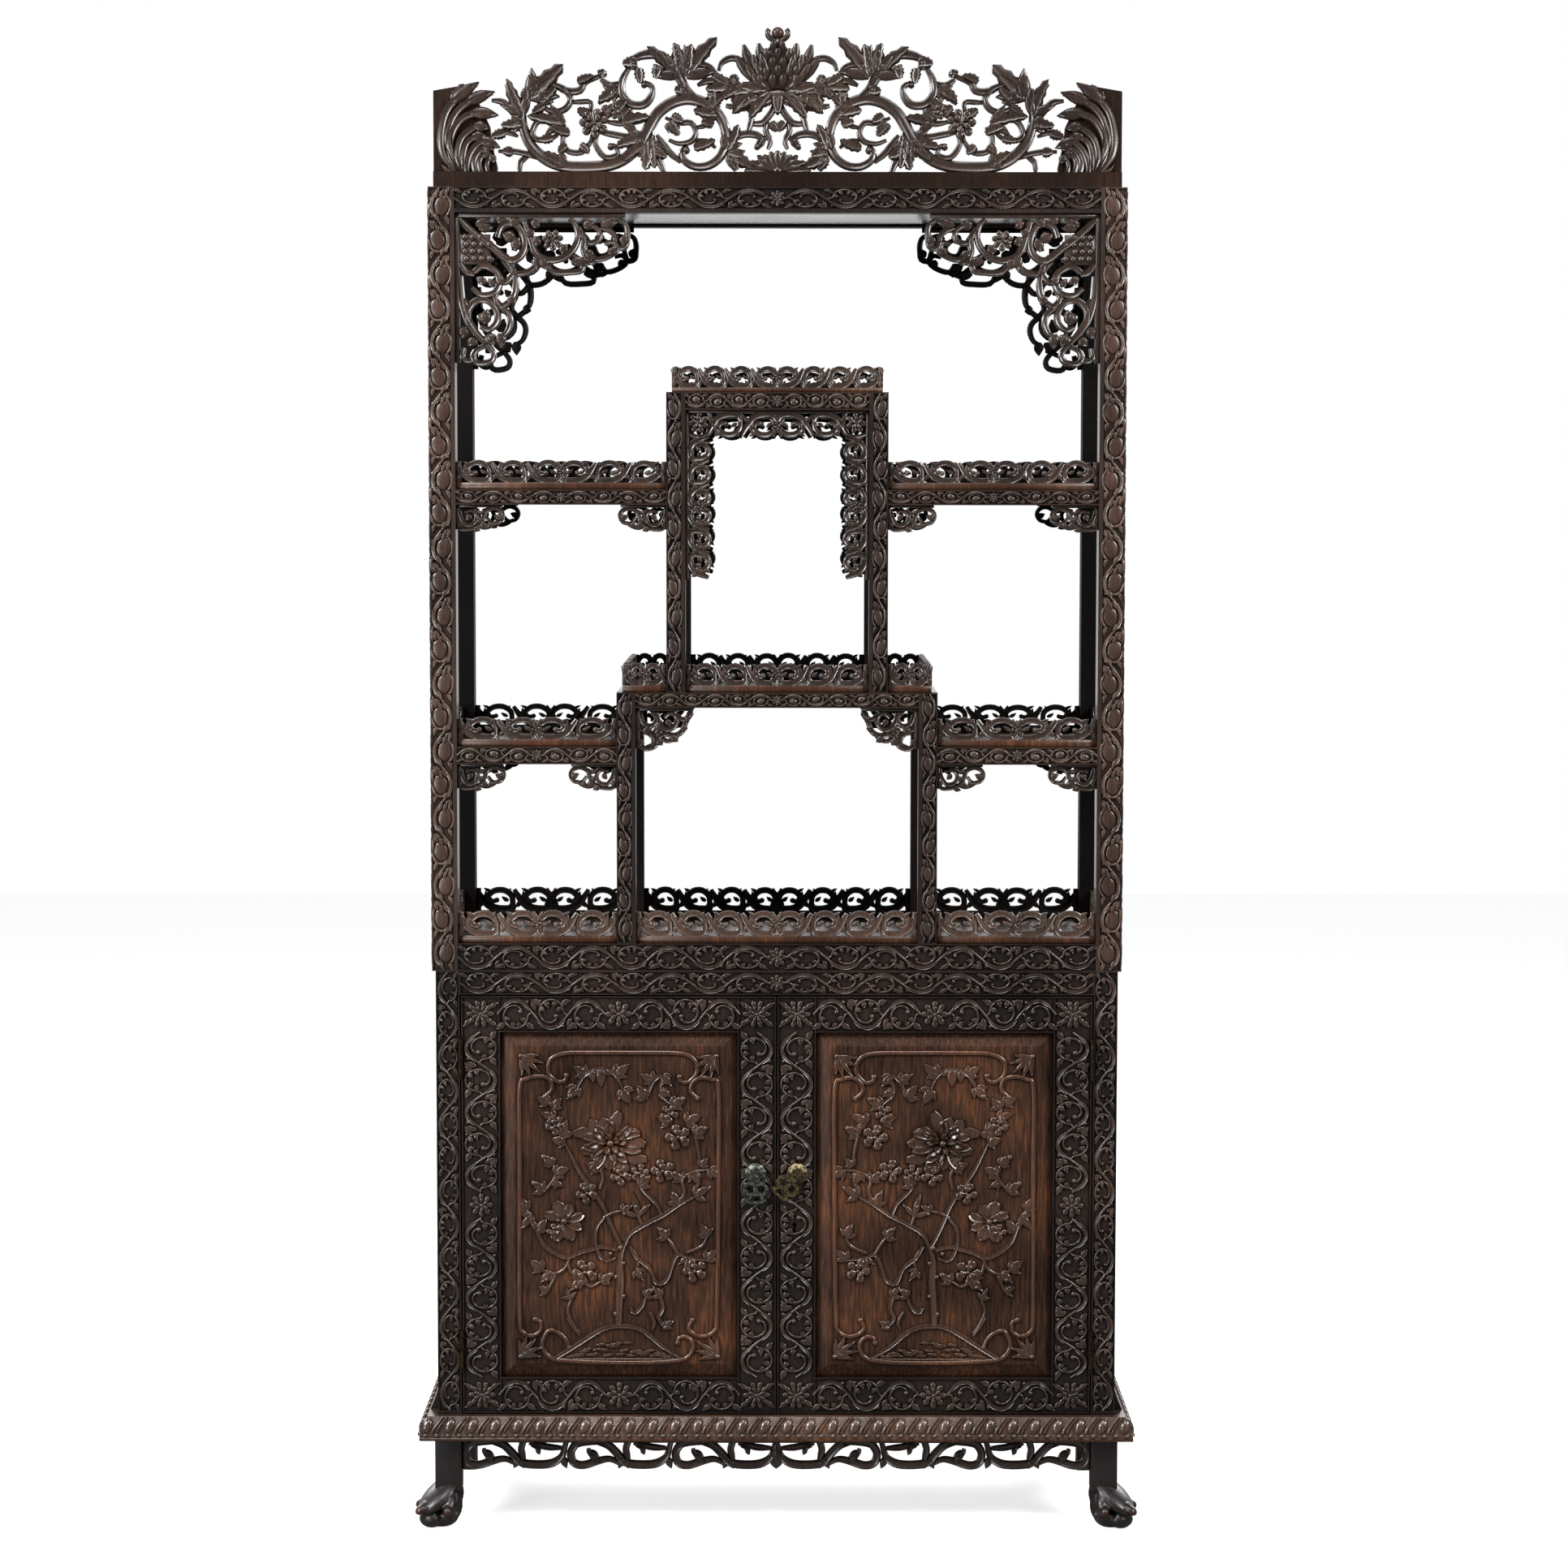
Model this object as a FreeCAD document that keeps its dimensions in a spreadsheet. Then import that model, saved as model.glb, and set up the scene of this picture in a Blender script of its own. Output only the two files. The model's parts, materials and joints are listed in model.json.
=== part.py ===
"""Carved hardwood book and display cabinet: an open shelf unit on a two-door case, on a stand with paw feet.

Millimetres. X runs to the right, Y to the back and Z up. The origin is on the floor, under the middle
of the cabinet.
"""
import FreeCAD, Part

import math
import os

import Sketcher

V = FreeCAD.Vector

# Driving sizes: name, value in millimetres and what it is; some are worked out from others
SIZES = [
    ("stand_height", 129, "floor to the underside of the plinth"),
    ("leg_width", 38, "front leg, square"),
    ("rear_leg_width", 34, "rear leg, square"),
    ("leg_outset", 5, "legs stand this far outside the case sides"),
    ("foot_height", 64, "top of the carved paw"),
    ("toe_reach", 31, "toes reach this far past the leg"),
    ("apron_drop", 47, "height of the pierced apron"),
    ("apron_thickness", 16, "apron board"),
    ("apron_setback", 8, "apron behind the face of the leg"),
    ("apron_scroll_length", 150, "length of one scroll of the apron"),
    ("plinth_thickness", 34, "plinth moulding"),
    ("plinth_band", 10, "plain band under the slope of the plinth"),
    ("plinth_slope", 10, "how far the plinth draws in above the band"),
    ("plinth_overhang", 25, "plinth outside the case sides"),
    ("plinth_front_overhang", 22, "plinth in front of the doors"),
    ("case_width", 974, "lower case, outside"),
    ("case_depth", 350, "lower case and shelf unit, front to back"),
    ("case_height", 643, "lower case"),
    ("case_post", 34, "posts beside the doors"),
    ("case_rail", 34, "rail over the doors"),
    ("case_side_thickness", 26, "framed sides of the case"),
    ("case_side_frame", 60, "width of the frame round each side panel"),
    ("case_side_sink", 7, "side panel below its frame"),
    ("case_back_thickness", 12, "back boards"),
    ("case_board", 14, "top board and inner shelf"),
    ("case_shelf_height", 300, "inner shelf above the plinth"),
    ("skirt_height", 55, "flared moulding at the foot of each side"),
    ("skirt_flare", 14, "how far that moulding flares"),
    ("door_thickness", 22, "door frame"),
    ("door_gap", 2, "running gap round each door"),
    ("door_stile", 55, "upright of a door frame"),
    ("door_rail", 52, "cross rail of a door frame"),
    ("groove_depth", 6, "groove that holds a door panel"),
    ("panel_tongue", 7, "thickness of a door panel at its edge"),
    ("panel_setback", 10, "panel's edge behind the face of the frame"),
    ("panel_rise", 8, "raised field above the panel's edge"),
    ("panel_bevel", 20, "sloping border of a door panel"),
    ("fit", 0.3, "clearance of pieces that fit into each other"),
    ("hinge_height", 60, "butt hinge"),
    ("hinge_leaf_width", 16, "leaf behind the face of the door"),
    ("hinge_leaf", 0.8, "thickness of a leaf"),
    ("hinge_barrel", 7, "diameter of the knuckles"),
    ("hinge_pin", 3.4, "diameter of the pin"),
    ("hinge_proud", 4, "hinge axis in front of the door"),
    ("hinge_end_distance", 90, "middle of a hinge from the end of the door"),
    ("lock_height", 34, "lock case"),
    ("lock_width", 42, "lock case"),
    ("lock_thickness", 12, "lock case, let into the back of the stile"),
    ("lock_level", 270, "middle of the lock above the door's foot"),
    ("bolt_height", 12, "lock bolt"),
    ("bolt_thickness", 4, "lock bolt"),
    ("bolt_length", 34, "lock bolt"),
    ("bolt_throw", 8, "travel of the bolt"),
    ("keyhole_width", 7, "round part of the keyhole"),
    ("keyhole_height", 16, "whole keyhole"),
    ("pull_level", 349, "boss of a pull above the door's foot"),
    ("pull_offset", 30, "boss of a pull from the middle of the cabinet"),
    ("pull_boss", 31, "diameter of the boss"),
    ("pull_boss_rise", 6, "height of the boss"),
    ("pull_shank", 5, "shank of the eye, squared, corner to corner"),
    ("pull_eye", 8, "eye block, square"),
    ("pull_eye_depth", 5, "eye block, front to back"),
    ("pull_pin", 2.6, "pin that the drop hangs on"),
    ("pull_drop_width", 38, "openwork drop"),
    ("pull_drop_height", 42, "openwork drop, below its pin"),
    ("pull_drop_thickness", 3, "openwork drop"),
    ("pull_tilt", 42, "degrees that the right drop hangs askew"),
    ("unit_overhang", 5, "shelf unit past the case on each side"),
    ("unit_width", "=case_width + 2 * unit_overhang", "shelf unit, outside"),
    ("unit_height", 1110, "shelf unit without its cresting"),
    ("post", 37, "corner post, square"),
    ("small_post", 27, "post of the tower and of the lower box, square"),
    ("top_rail", 36, "top rail"),
    ("bottom_rail", 39.5, "bottom rail"),
    ("rail_thickness", 30, "top and bottom rails, front to back"),
    ("board", 12, "top and bottom boards"),
    ("top_board_rise", 4, "top board above the foot of the top rail"),
    ("box_half_width", 228, "half of the lower box, outside"),
    ("tower_half_width", 157, "half of the tower, outside"),
    ("low_shelf_level", "=unit_height * 0.2892", "top of the lower side shelves above the case"),
    ("middle_shelf_level", "=unit_height * 0.3586", "top of the middle shelf above the case"),
    ("high_shelf_level", "=unit_height * 0.6176", "top of the upper side shelves above the case"),
    ("tower_level", "=unit_height * 0.7414", "top of the tower above the case"),
    ("shelf_edge", 21.5, "thickness of a shelf"),
    ("low_shelf_edge", 25, "thickness of a lower side shelf"),
    ("tower_edge", 25, "thickness of the tower's top"),
    ("side_margin", 4, "shelf ends inside the faces of the corner posts"),
    ("field_sink", 3, "carved ground below its border"),
    ("thin_border", 2, "border on the outer edge of a carved field"),
    ("plain_border", 6, "border on the inner edge of a carved field"),
    ("gallery", 9, "thickness of the pierced galleries"),
    ("gallery_setback", 8, "gallery behind the edge of its shelf"),
    ("gallery_strip", 9.5, "plain strip at the foot of a gallery"),
    ("gallery_end", 9, "solid leaf at each end of a gallery"),
    ("gallery_scroll_length", 72, "length of one arch of a gallery"),
    ("gallery_web", 6.5, "carved web between the holes of a gallery"),
    ("floor_gallery_height", 44.5, "gallery on the bottom board"),
    ("shelf_gallery_height", 40, "galleries on the shelves"),
    ("tower_gallery_height", 35.5, "gallery round the top of the tower"),
    ("spandrel", 12, "thickness of the corner brackets"),
    ("spandrel_setback", 6, "corner brackets behind the face of the posts"),
    ("corner_length", 243, "corner bracket along the top rail"),
    ("corner_drop", 213, "corner bracket down the post"),
    ("bracket_length", 68, "small bracket along a side shelf"),
    ("bracket_drop", 38, "small bracket down the post"),
    ("box_bracket_length", 84, "bracket under the middle shelf"),
    ("box_bracket_drop", 62, "bracket under the middle shelf"),
    ("frieze_band", 40, "pierced band across the tower"),
    ("frieze_side", 38, "pierced band down each side of the tower"),
    ("frieze_drop", 240, "frieze from top to foot"),
    ("crest_rail", 21, "plain rail under the cresting"),
    ("crest_rail_thickness", 26, "plain rail, front to back"),
    ("crest_thickness", 18, "pierced cresting board"),
    ("crest_margin", 8, "cresting ends inside the unit's side"),
    ("crest_rise", 196, "cresting above its rail, to the tip of the flower"),
]

doc = FreeCAD.newDocument("BookCabinet")
sheet = doc.addObject("Spreadsheet::Sheet", "Sizes")
sheet.set("A1", "Size")
sheet.set("B1", "mm")
sheet.set("C1", "What it is")
for row, (alias, value, note) in enumerate(SIZES, start=2):
    sheet.set(f"A{row}", alias)
    sheet.set(f"B{row}", str(value))
    sheet.set(f"C{row}", note)
    sheet.setAlias(f"B{row}", alias)
doc.recompute()


def size(alias):
    """A driving size read back from the sheet."""
    return float(sheet.get(alias))


def bound(text):
    """An expression with the names of the sizes tied to the sheet."""
    for alias, _, _ in sorted(SIZES, key=lambda entry: -len(entry[0])):
        text = replace_word(text, alias, "<<Sizes>>." + alias)
    return text


def replace_word(text, word, new):
    """Replace a whole word only, so that post isn't found inside small_post."""
    parts = []
    letter = ""
    for sign in text + " ":
        if sign.isalnum() or sign in "_.<>":
            letter += sign
            continue
        parts.append(new if letter == word else letter)
        parts.append(sign)
        letter = ""
    return "".join(parts).rstrip()


# Levels and lines that several pieces share
FRONT = "(toe_reach - case_depth) / 2"
BACK = "(toe_reach + case_depth) / 2"
PLINTH_TOP = "stand_height + plinth_thickness"
UNIT_FOOT = PLINTH_TOP + " + case_height"
UNIT_TOP = UNIT_FOOT + " + unit_height"
FLOOR_TOP = UNIT_FOOT + " + bottom_rail"
DOOR_FOOT = PLINTH_TOP + " + door_gap"
DOOR_HEIGHT = "case_height - case_rail - 2 * door_gap"
DOOR_OUTER = "case_width / 2 - case_post - door_gap"
DOOR_WIDTH = "(" + DOOR_OUTER + " - door_gap / 2)"
PANEL_HEIGHT = "(" + DOOR_HEIGHT + " - 2 * door_rail)"
PANEL_WIDTH = "(" + DOOR_WIDTH + " - 2 * door_stile)"
POST_INNER = "(unit_width / 2 - post)"
SHELVES = {
    "low": ("low_shelf_level", "low_shelf_edge", "box_half_width"),
    "middle": ("middle_shelf_level", "shelf_edge", "box_half_width"),
    "high": ("high_shelf_level", "shelf_edge", "tower_half_width"),
    "tower": ("tower_level", "tower_edge", "tower_half_width"),
}


def value(text):
    """The number that an expression in the sizes gives."""
    total = doc.getObject("Sizes").evalExpression(bound(text))
    return float(total.Value) if hasattr(total, "Value") else float(total)


def place(item, left, front, low):
    """Tie an object's place to expressions in the sizes."""
    item.setExpression(".Placement.Base.x", bound(left))
    item.setExpression(".Placement.Base.y", bound(front))
    item.setExpression(".Placement.Base.z", bound(low))


def block(label, wide, deep, tall, left, front, low):
    """A plain squared piece of timber."""
    item = doc.addObject("Part::Box", label)
    item.Label = label
    item.setExpression("Length", bound(wide))
    item.setExpression("Width", bound(deep))
    item.setExpression("Height", bound(tall))
    place(item, left, front, low)
    return item


def rod(label, diameter, length, left, front, low):
    """A round upright piece, such as a pin or a knuckle."""
    item = doc.addObject("Part::Cylinder", label)
    item.Label = label
    item.setExpression("Radius", bound(f"({diameter}) / 2"))
    item.setExpression("Height", bound(length))
    place(item, left, front, low)
    return item


def cut(label, base, tool):
    """One piece less another."""
    item = doc.addObject("Part::Cut", label)
    item.Label = label
    item.Base = base
    item.Tool = tool
    return item


def fuse(label, pieces):
    """Pieces worked from one solid."""
    item = doc.addObject("Part::MultiFuse", label)
    item.Label = label
    item.Shapes = pieces
    item.Refine = True
    return item


def group(label, pieces):
    """Like pieces that stay separate solids under one name."""
    item = doc.addObject("Part::Compound", label)
    item.Label = label
    item.Links = pieces
    return item


def solid(label, shape, left="0", front="0", low="0"):
    """A piece whose outline is drawn by a formula, put in its place afterwards."""
    item = doc.addObject("Part::Feature", label)
    item.Label = label
    item.Shape = shape
    moved = FreeCAD.Placement(V(value(left), value(front), value(low)), FreeCAD.Rotation())
    item.Placement = moved.multiply(shape.Placement)
    return item


def rectangle(body, role, name, wide, tall, across="0", up="0", out="0"):
    """A rectangle sketched on one of the body's own origin planes, from a corner that the sizes place."""
    plane = next(item for item in body.Origin.OriginFeatures if item.Role == role)
    sketch = body.newObject("Sketcher::SketchObject", name)
    sketch.AttachmentSupport = (plane, [""])
    sketch.MapMode = "FlatFace"
    corners = [V(0, 0, 0), V(10, 0, 0), V(10, 10, 0), V(0, 10, 0)]
    for index in range(4):
        sketch.addGeometry(Part.LineSegment(corners[index], corners[(index + 1) % 4]), False)
    for index in range(4):
        sketch.addConstraint(Sketcher.Constraint("Coincident", index, 2, (index + 1) % 4, 1))
    sketch.addConstraint(Sketcher.Constraint("Coincident", 0, 1, -1, 1))
    for index in (0, 2):
        sketch.addConstraint(Sketcher.Constraint("Horizontal", index))
        sketch.addConstraint(Sketcher.Constraint("Vertical", index + 1))
    sketch.addConstraint(Sketcher.Constraint("DistanceX", 0, 1, 0, 2, 10))
    sketch.renameConstraint(sketch.ConstraintCount - 1, "wide")
    sketch.addConstraint(Sketcher.Constraint("DistanceY", 1, 1, 1, 2, 10))
    sketch.renameConstraint(sketch.ConstraintCount - 1, "tall")
    sketch.setExpression("Constraints.wide", bound(wide))
    sketch.setExpression("Constraints.tall", bound(tall))
    sketch.setExpression(".AttachmentOffset.Base.x", bound(across))
    sketch.setExpression(".AttachmentOffset.Base.y", bound(up))
    sketch.setExpression(".AttachmentOffset.Base.z", bound(out))
    return sketch


def pocket(body, role, name, wide, tall, deep, across="0", up="0", out="0", turned=False):
    """Sink a rectangular field into one face of a body."""
    sketch = rectangle(body, role, name + "Outline", wide, tall, across, up, out)
    sunk = body.newObject("PartDesign::Pocket", name)
    sunk.Profile = sketch
    sunk.setExpression("Length", bound(deep))
    sunk.Reversed = turned
    return sunk


def bar(label, wide, deep, tall, left, front, low, border=None, side=None):
    """A squared bar. border gives the plain edges left, right and at both ends of its sunk carved field
    in front; side says which side face has a carved field too."""
    body = doc.addObject("PartDesign::Body", label)
    body.Label = label
    section = rectangle(body, "XY_Plane", label + "Section", wide, deep)
    pad = body.newObject("PartDesign::Pad", label + "Length")
    pad.Profile = section
    pad.setExpression("Length", bound(tall))
    if border:
        near, far, foot, head = border
        pocket(body, "XZ_Plane", label + "Field", f"({wide}) - {near} - {far}",
               f"({tall}) - {foot} - {head}", "field_sink", near, foot)
    if side:
        outer = wide if side == "right" else "0"
        pocket(body, "YZ_Plane", label + "SideField", f"({deep}) - thin_border - plain_border",
               f"({tall}) - 2 * plain_border", "field_sink", "thin_border", "plain_border", outer,
               side == "left")
    place(body, left, front, low)
    return body


# Outlines and what is pierced through them


def closed(points):
    """A closed wire through points (x, z)."""
    corners = [V(x, 0, z) for x, z in points]
    return Part.makePolygon(corners + corners[:1])


def pierced(outline, holes, thickness):
    """A board sawn to an outline, with holes sawn through it."""
    wires = [closed(outline)] + [closed(hole) for hole in holes]
    face = Part.makeFace(wires, "Part::FaceMakerBullseye")
    return face.extrude(V(0, thickness, 0))


def rounded(x, z, radius, sides=8):
    """A round hole, chipped out in short flats."""
    turns = [2 * math.pi * (index + 0.5) / sides for index in range(sides)]
    return [(x + radius * math.cos(turn), z + radius * math.sin(turn)) for turn in turns]


def pointed(left, right, foot, spring, crown):
    """A hole with an upright at each side and a head that leans to the right, like a turning leaf."""
    peak = left + 0.6 * (right - left)
    return [(left, foot), (right, foot), (right, spring), (peak, crown), (left, spring)]


def mirrored(points):
    """The same outline on the other side of the middle."""
    return [(-x, z) for x, z in reversed(points)]


def scaled(points, wide, tall):
    """An outline stretched across and up."""
    return [(x * wide, z * tall) for x, z in points]


def shifted(points, x_move, z_move):
    """An outline moved across and up."""
    return [(x + x_move, z + z_move) for x, z in points]


def gallery_board(length, tall):
    """A straight stretch of pierced gallery: a plain strip, solid leaves at the ends and a run of arches."""
    strip = size("gallery_strip")
    end = size("gallery_end")
    web = size("gallery_web")
    count = max(1, round((length - 2 * end) / size("gallery_scroll_length")))
    unit = (length - 2 * end) / count
    crown = tall - 1.2 * web
    spring = strip + 0.45 * (crown - strip)
    top = [(length, 0), (length, tall), (length - end, tall)]
    holes = []
    for index in range(count):
        right = length - end - index * unit
        left = right - unit
        top.append((right - 0.3 * unit, tall - 0.6 * web))
        top.append((left, tall))
        holes.append(pointed(left + web / 2, right - web / 2, strip + web / 4, spring, crown))
    top.append((0, tall))
    return pierced([(0, 0)] + top, holes, size("gallery"))


def along(shape, left, front, turned=False):
    """A copy of a board put across the front, or turned to run front to back with its face at left."""
    copy = shape.copy()
    if turned:
        copy.rotate(V(0, 0, 0), V(0, 0, 1), 90)
        copy.translate(V(left + size("gallery"), front, 0))
    else:
        copy.translate(V(left, front, 0))
    return copy


def gallery_set(label, level, tall, across, sides):
    """All stretches of one gallery. across lists (left, right) of stretches that stand at the front and
    again at the back; sides lists (left, front, back) of stretches that run from front to back."""
    depth = size("case_depth")
    setback = size("gallery_setback")
    thick = size("gallery")
    pieces = []
    for left, right in across:
        board = gallery_board(right - left, tall)
        pieces.append(along(board, left, setback))
        pieces.append(along(board, left, depth - setback - thick))
    for left, front, back in sides:
        pieces.append(along(gallery_board(back - front, tall), left, front, True))
    solid(label, Part.makeCompound(pieces), "0", FRONT, level)


# Stand


# The leg and its paw, from the floor up: height in feet, how far the inner corner swells, how far the two
# outer faces swell, and the reach of the toes in toe lengths
PAW = [
    (0.00, -8, 0, 0.55),
    (0.06, -5, 3, 0.80),
    (0.22, -1, 6, 0.92),
    (0.35, 1, 5, 0.72),
    (0.43, 2, 8, 1.00),
    (0.60, 3, 7, 0.66),
    (0.80, 3, 3, 0.28),
    (1.00, 0, 0, 0.00),
]


def paw_leg():
    """The front left leg with its carved paw, faceted between sections that change up the leg. Each
    section is a square of the leg's width with its outer front corner pulled out into the toes."""
    wide = size("leg_width")
    foot = size("foot_height")
    reach = size("toe_reach")
    rings = []
    for level, inner, swell, toes in PAW:
        rings.append(leg_section(wide, foot * level, inner, swell, reach * toes))
    rings.append(leg_section(wide, size("stand_height"), 0, 0, 0))
    return faceted(rings)


def leg_section(wide, level, inner, swell, toes):
    """One section of the leg, its outer front corner at the local origin; X runs in, Y runs back."""
    blunt = 8.0
    return [
        V(wide + inner, wide + inner, level),
        V(-swell * 0.4, wide + inner, level),
        V(-swell, wide * 0.42, level),
        V(-toes, blunt - toes, level),
        V(blunt - toes, -toes, level),
        V(wide * 0.42, -swell, level),
        V(wide + inner, -swell * 0.4, level),
    ]


def faceted(rings):
    """A closed solid of flat facets through rings of as many corners each."""
    count = len(rings[0])
    faces = [Part.Face(Part.makePolygon(ring + ring[:1])) for ring in (rings[0], rings[-1])]
    for low, high in zip(rings, rings[1:]):
        for index in range(count):
            after = (index + 1) % count
            for facet in ((low[index], low[after], high[after]), (low[index], high[after], high[index])):
                faces.append(Part.Face(Part.makePolygon(list(facet) + [facet[0]])))
    return Part.makeSolid(Part.makeShell(faces))


def build_legs():
    leg = paw_leg()
    outer = "case_width / 2 + leg_outset"
    solid("front_left_leg", leg, "-(" + outer + ")", FRONT)
    solid("front_right_leg", leg.mirror(V(0, 0, 0), V(1, 0, 0)), outer, FRONT)
    rear = BACK + " - rear_leg_width"
    left = block("RearLegLeft", "rear_leg_width", "rear_leg_width", "stand_height",
                 "-(" + outer + ")", rear, "0")
    right = block("RearLegRight", "rear_leg_width", "rear_leg_width", "stand_height",
                  outer + " - rear_leg_width", rear, "0")
    group("rear_legs", [left, right])


def build_plinth():
    """The moulded plinth: a plain band, and above it a slope that carries the gadroons."""
    half = size("case_width") / 2 + size("plinth_overhang")
    front = -size("plinth_front_overhang")
    back = size("case_depth")
    slope = size("plinth_slope")
    band = size("plinth_band")
    tall = size("plinth_thickness")
    wires = []
    for level, inset in ((0, 0), (band, 0), (band + 0.55 * (tall - band), 0.3 * slope), (tall, slope)):
        x = half - inset
        y = front + inset
        corners = [V(-x, y, level), V(x, y, level), V(x, back, level), V(-x, back, level)]
        wires.append(Part.makePolygon(corners + corners[:1]))
    solid("plinth", Part.makeLoft(wires, True, True), "0", FRONT, "stand_height")


# One scroll of the apron, drawn 150 long and 47 deep, its top at 0: the lower edge and its piercings
APRON_UNIT = 150.0
APRON_DEPTH = 47.0
APRON_EDGE = [(0, -38), (8, -44), (34, -46), (60, -39), (66, -46), (72, -38), (94, -46), (134, -36), (141, -47)]
APRON_HOLES = [
    [(7, -20), (14, -34), (30, -38), (34, -30), (58, -31), (44, -16), (20, -6)],
    [(77, -20), (86, -36), (104, -39), (134, -17), (106, -16), (94, -8)],
    [(100, -2), (138, -2), (122, -10)],
]


def apron_half(count, unit, wide, tall):
    """Lower edge, left to right, and holes of the left half of an apron."""
    edge = []
    holes = []
    for index in range(count):
        start = index * unit - wide
        edge += shifted(scaled(APRON_EDGE, unit / APRON_UNIT, tall / APRON_DEPTH), start, 0)
        for hole in APRON_HOLES:
            holes.append(shifted(scaled(hole, unit / APRON_UNIT, tall / APRON_DEPTH), start, 0))
    return edge, holes


def apron_board(length):
    """A pierced apron, mirrored about its middle, hanging from its top edge."""
    wide = length / 2
    tall = size("apron_drop")
    count = max(1, round(wide / size("apron_scroll_length")))
    edge, holes = apron_half(count, wide / count, wide, tall)
    middle = [(0, -0.8 * tall)]
    outline = [(-wide, 0)] + edge + middle + mirrored(edge) + [(wide, 0)]
    return pierced(outline, holes + [mirrored(hole) for hole in holes], size("apron_thickness"))


def build_aprons():
    half_case = size("case_width") / 2 + size("leg_outset")
    length = 2 * (half_case - size("leg_width"))
    solid("front_apron", apron_board(length), "0", FRONT + " + apron_setback", "stand_height")
    side_length = size("case_depth") - size("leg_width") - size("rear_leg_width")
    middle = size("leg_width") + side_length / 2
    side = apron_board(side_length)
    side.rotate(V(0, 0, 0), V(0, 0, 1), 90)
    left = side.copy()
    left.translate(V(size("apron_thickness") + size("apron_setback") - half_case, middle, 0))
    right = side.copy()
    right.translate(V(half_case - size("apron_setback"), middle, 0))
    solid("side_aprons", Part.makeCompound([left, right]), "0", FRONT, "stand_height")


# Lower case


def build_case_side(label, hand):
    """One framed side: a thick frame round a sunk panel, and a flared moulding at its foot."""
    body = doc.addObject("PartDesign::Body", label + "Frame")
    deep = "case_depth - case_post"
    section = rectangle(body, "XY_Plane", label + "Section", "case_side_thickness", deep)
    pad = body.newObject("PartDesign::Pad", label + "Length")
    pad.Profile = section
    pad.setExpression("Length", bound("case_height"))
    outer = "case_side_thickness" if hand > 0 else "0"
    panel_deep = deep + " - 2 * case_side_frame"
    panel_tall = "case_height - 2 * case_side_frame - skirt_height"
    pocket(body, "YZ_Plane", label + "Panel", panel_deep, panel_tall, "case_side_sink",
           "case_side_frame", "case_side_frame + skirt_height", outer, hand < 0)
    inner = "0" if hand > 0 else "case_side_thickness"
    pocket(body, "YZ_Plane", label + "Inside", panel_deep, panel_tall, "case_side_sink",
           "case_side_frame", "case_side_frame + skirt_height", inner, hand > 0)
    left = "case_width / 2 - case_side_thickness" if hand > 0 else "-case_width / 2"
    place(body, left, FRONT + " + case_post", PLINTH_TOP)
    doc.recompute()
    flare = size("skirt_flare")
    tall = size("skirt_height")
    corner = V(0, 0, 0)
    foot = V(hand * flare, 0, 0)
    head = V(0, 0, tall)
    hollow = V(hand * flare * 0.3, 0, tall * 0.44)
    profile = Part.Wire([Part.makeLine(corner, foot), Part.Arc(foot, hollow, head).toShape(),
                         Part.makeLine(head, corner)])
    length = value("case_depth - case_post")
    skirt = doc.addObject("Part::Feature", label + "Skirt")
    skirt.Shape = Part.Face(profile).extrude(V(0, length, 0))
    skirt.Placement.Base = V(hand * value("case_width / 2"), value(FRONT + " + case_post"),
                             value(PLINTH_TOP))
    fuse(label, [body, skirt])


def build_case():
    half = "case_width / 2"
    inner = "case_width / 2 - case_side_thickness"
    bar("case_left_post", "case_post", "case_post", "case_height", "-" + half, FRONT, PLINTH_TOP,
        ("thin_border", "thin_border", "plain_border", "thin_border"))
    bar("case_right_post", "case_post", "case_post", "case_height", half + " - case_post", FRONT,
        PLINTH_TOP, ("thin_border", "thin_border", "plain_border", "thin_border"))
    bar("case_top_rail", "case_width - 2 * case_post", "case_post", "case_rail",
        "case_post - " + half, FRONT, UNIT_FOOT + " - case_rail",
        ("thin_border", "thin_border", "thin_border", "thin_border"))
    build_case_side("case_left_side", -1)
    build_case_side("case_right_side", 1)
    clear = "2 * (" + inner + ")"
    block("case_back", clear, "case_back_thickness", "case_height", "-(" + inner + ")",
          BACK + " - case_back_thickness", PLINTH_TOP)
    deep = "case_depth - case_post - case_back_thickness"
    block("case_top_board", clear, deep, "case_board", "-(" + inner + ")", FRONT + " + case_post",
          UNIT_FOOT + " - case_board")
    block("case_shelf", clear, deep, "case_board", "-(" + inner + ")", FRONT + " + case_post",
          PLINTH_TOP + " + case_shelf_height")


# Doors


def door_piece(label, wide, tall, left, low, border, grooves):
    """One bar of a door frame, with the grooves that hold the panel."""
    piece = bar(label, wide, "door_thickness", tall, left, FRONT, low, border)
    slot = "panel_tongue + 2 * fit"
    behind = "panel_setback - fit"
    for face in grooves:
        if face in ("left", "right"):
            outer = "0" if face == "left" else wide
            pocket(piece, "YZ_Plane", label + "Groove", slot, f"({tall}) - 2 * door_rail + 2 * groove_depth",
                   "groove_depth", behind, "door_rail - groove_depth", outer, face == "left")
        else:
            level = "0" if face == "foot" else tall
            pocket(piece, "XY_Plane", label + "Groove", f"({wide})", slot, "groove_depth",
                   "0", behind, level, face == "foot")
    return piece


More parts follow.
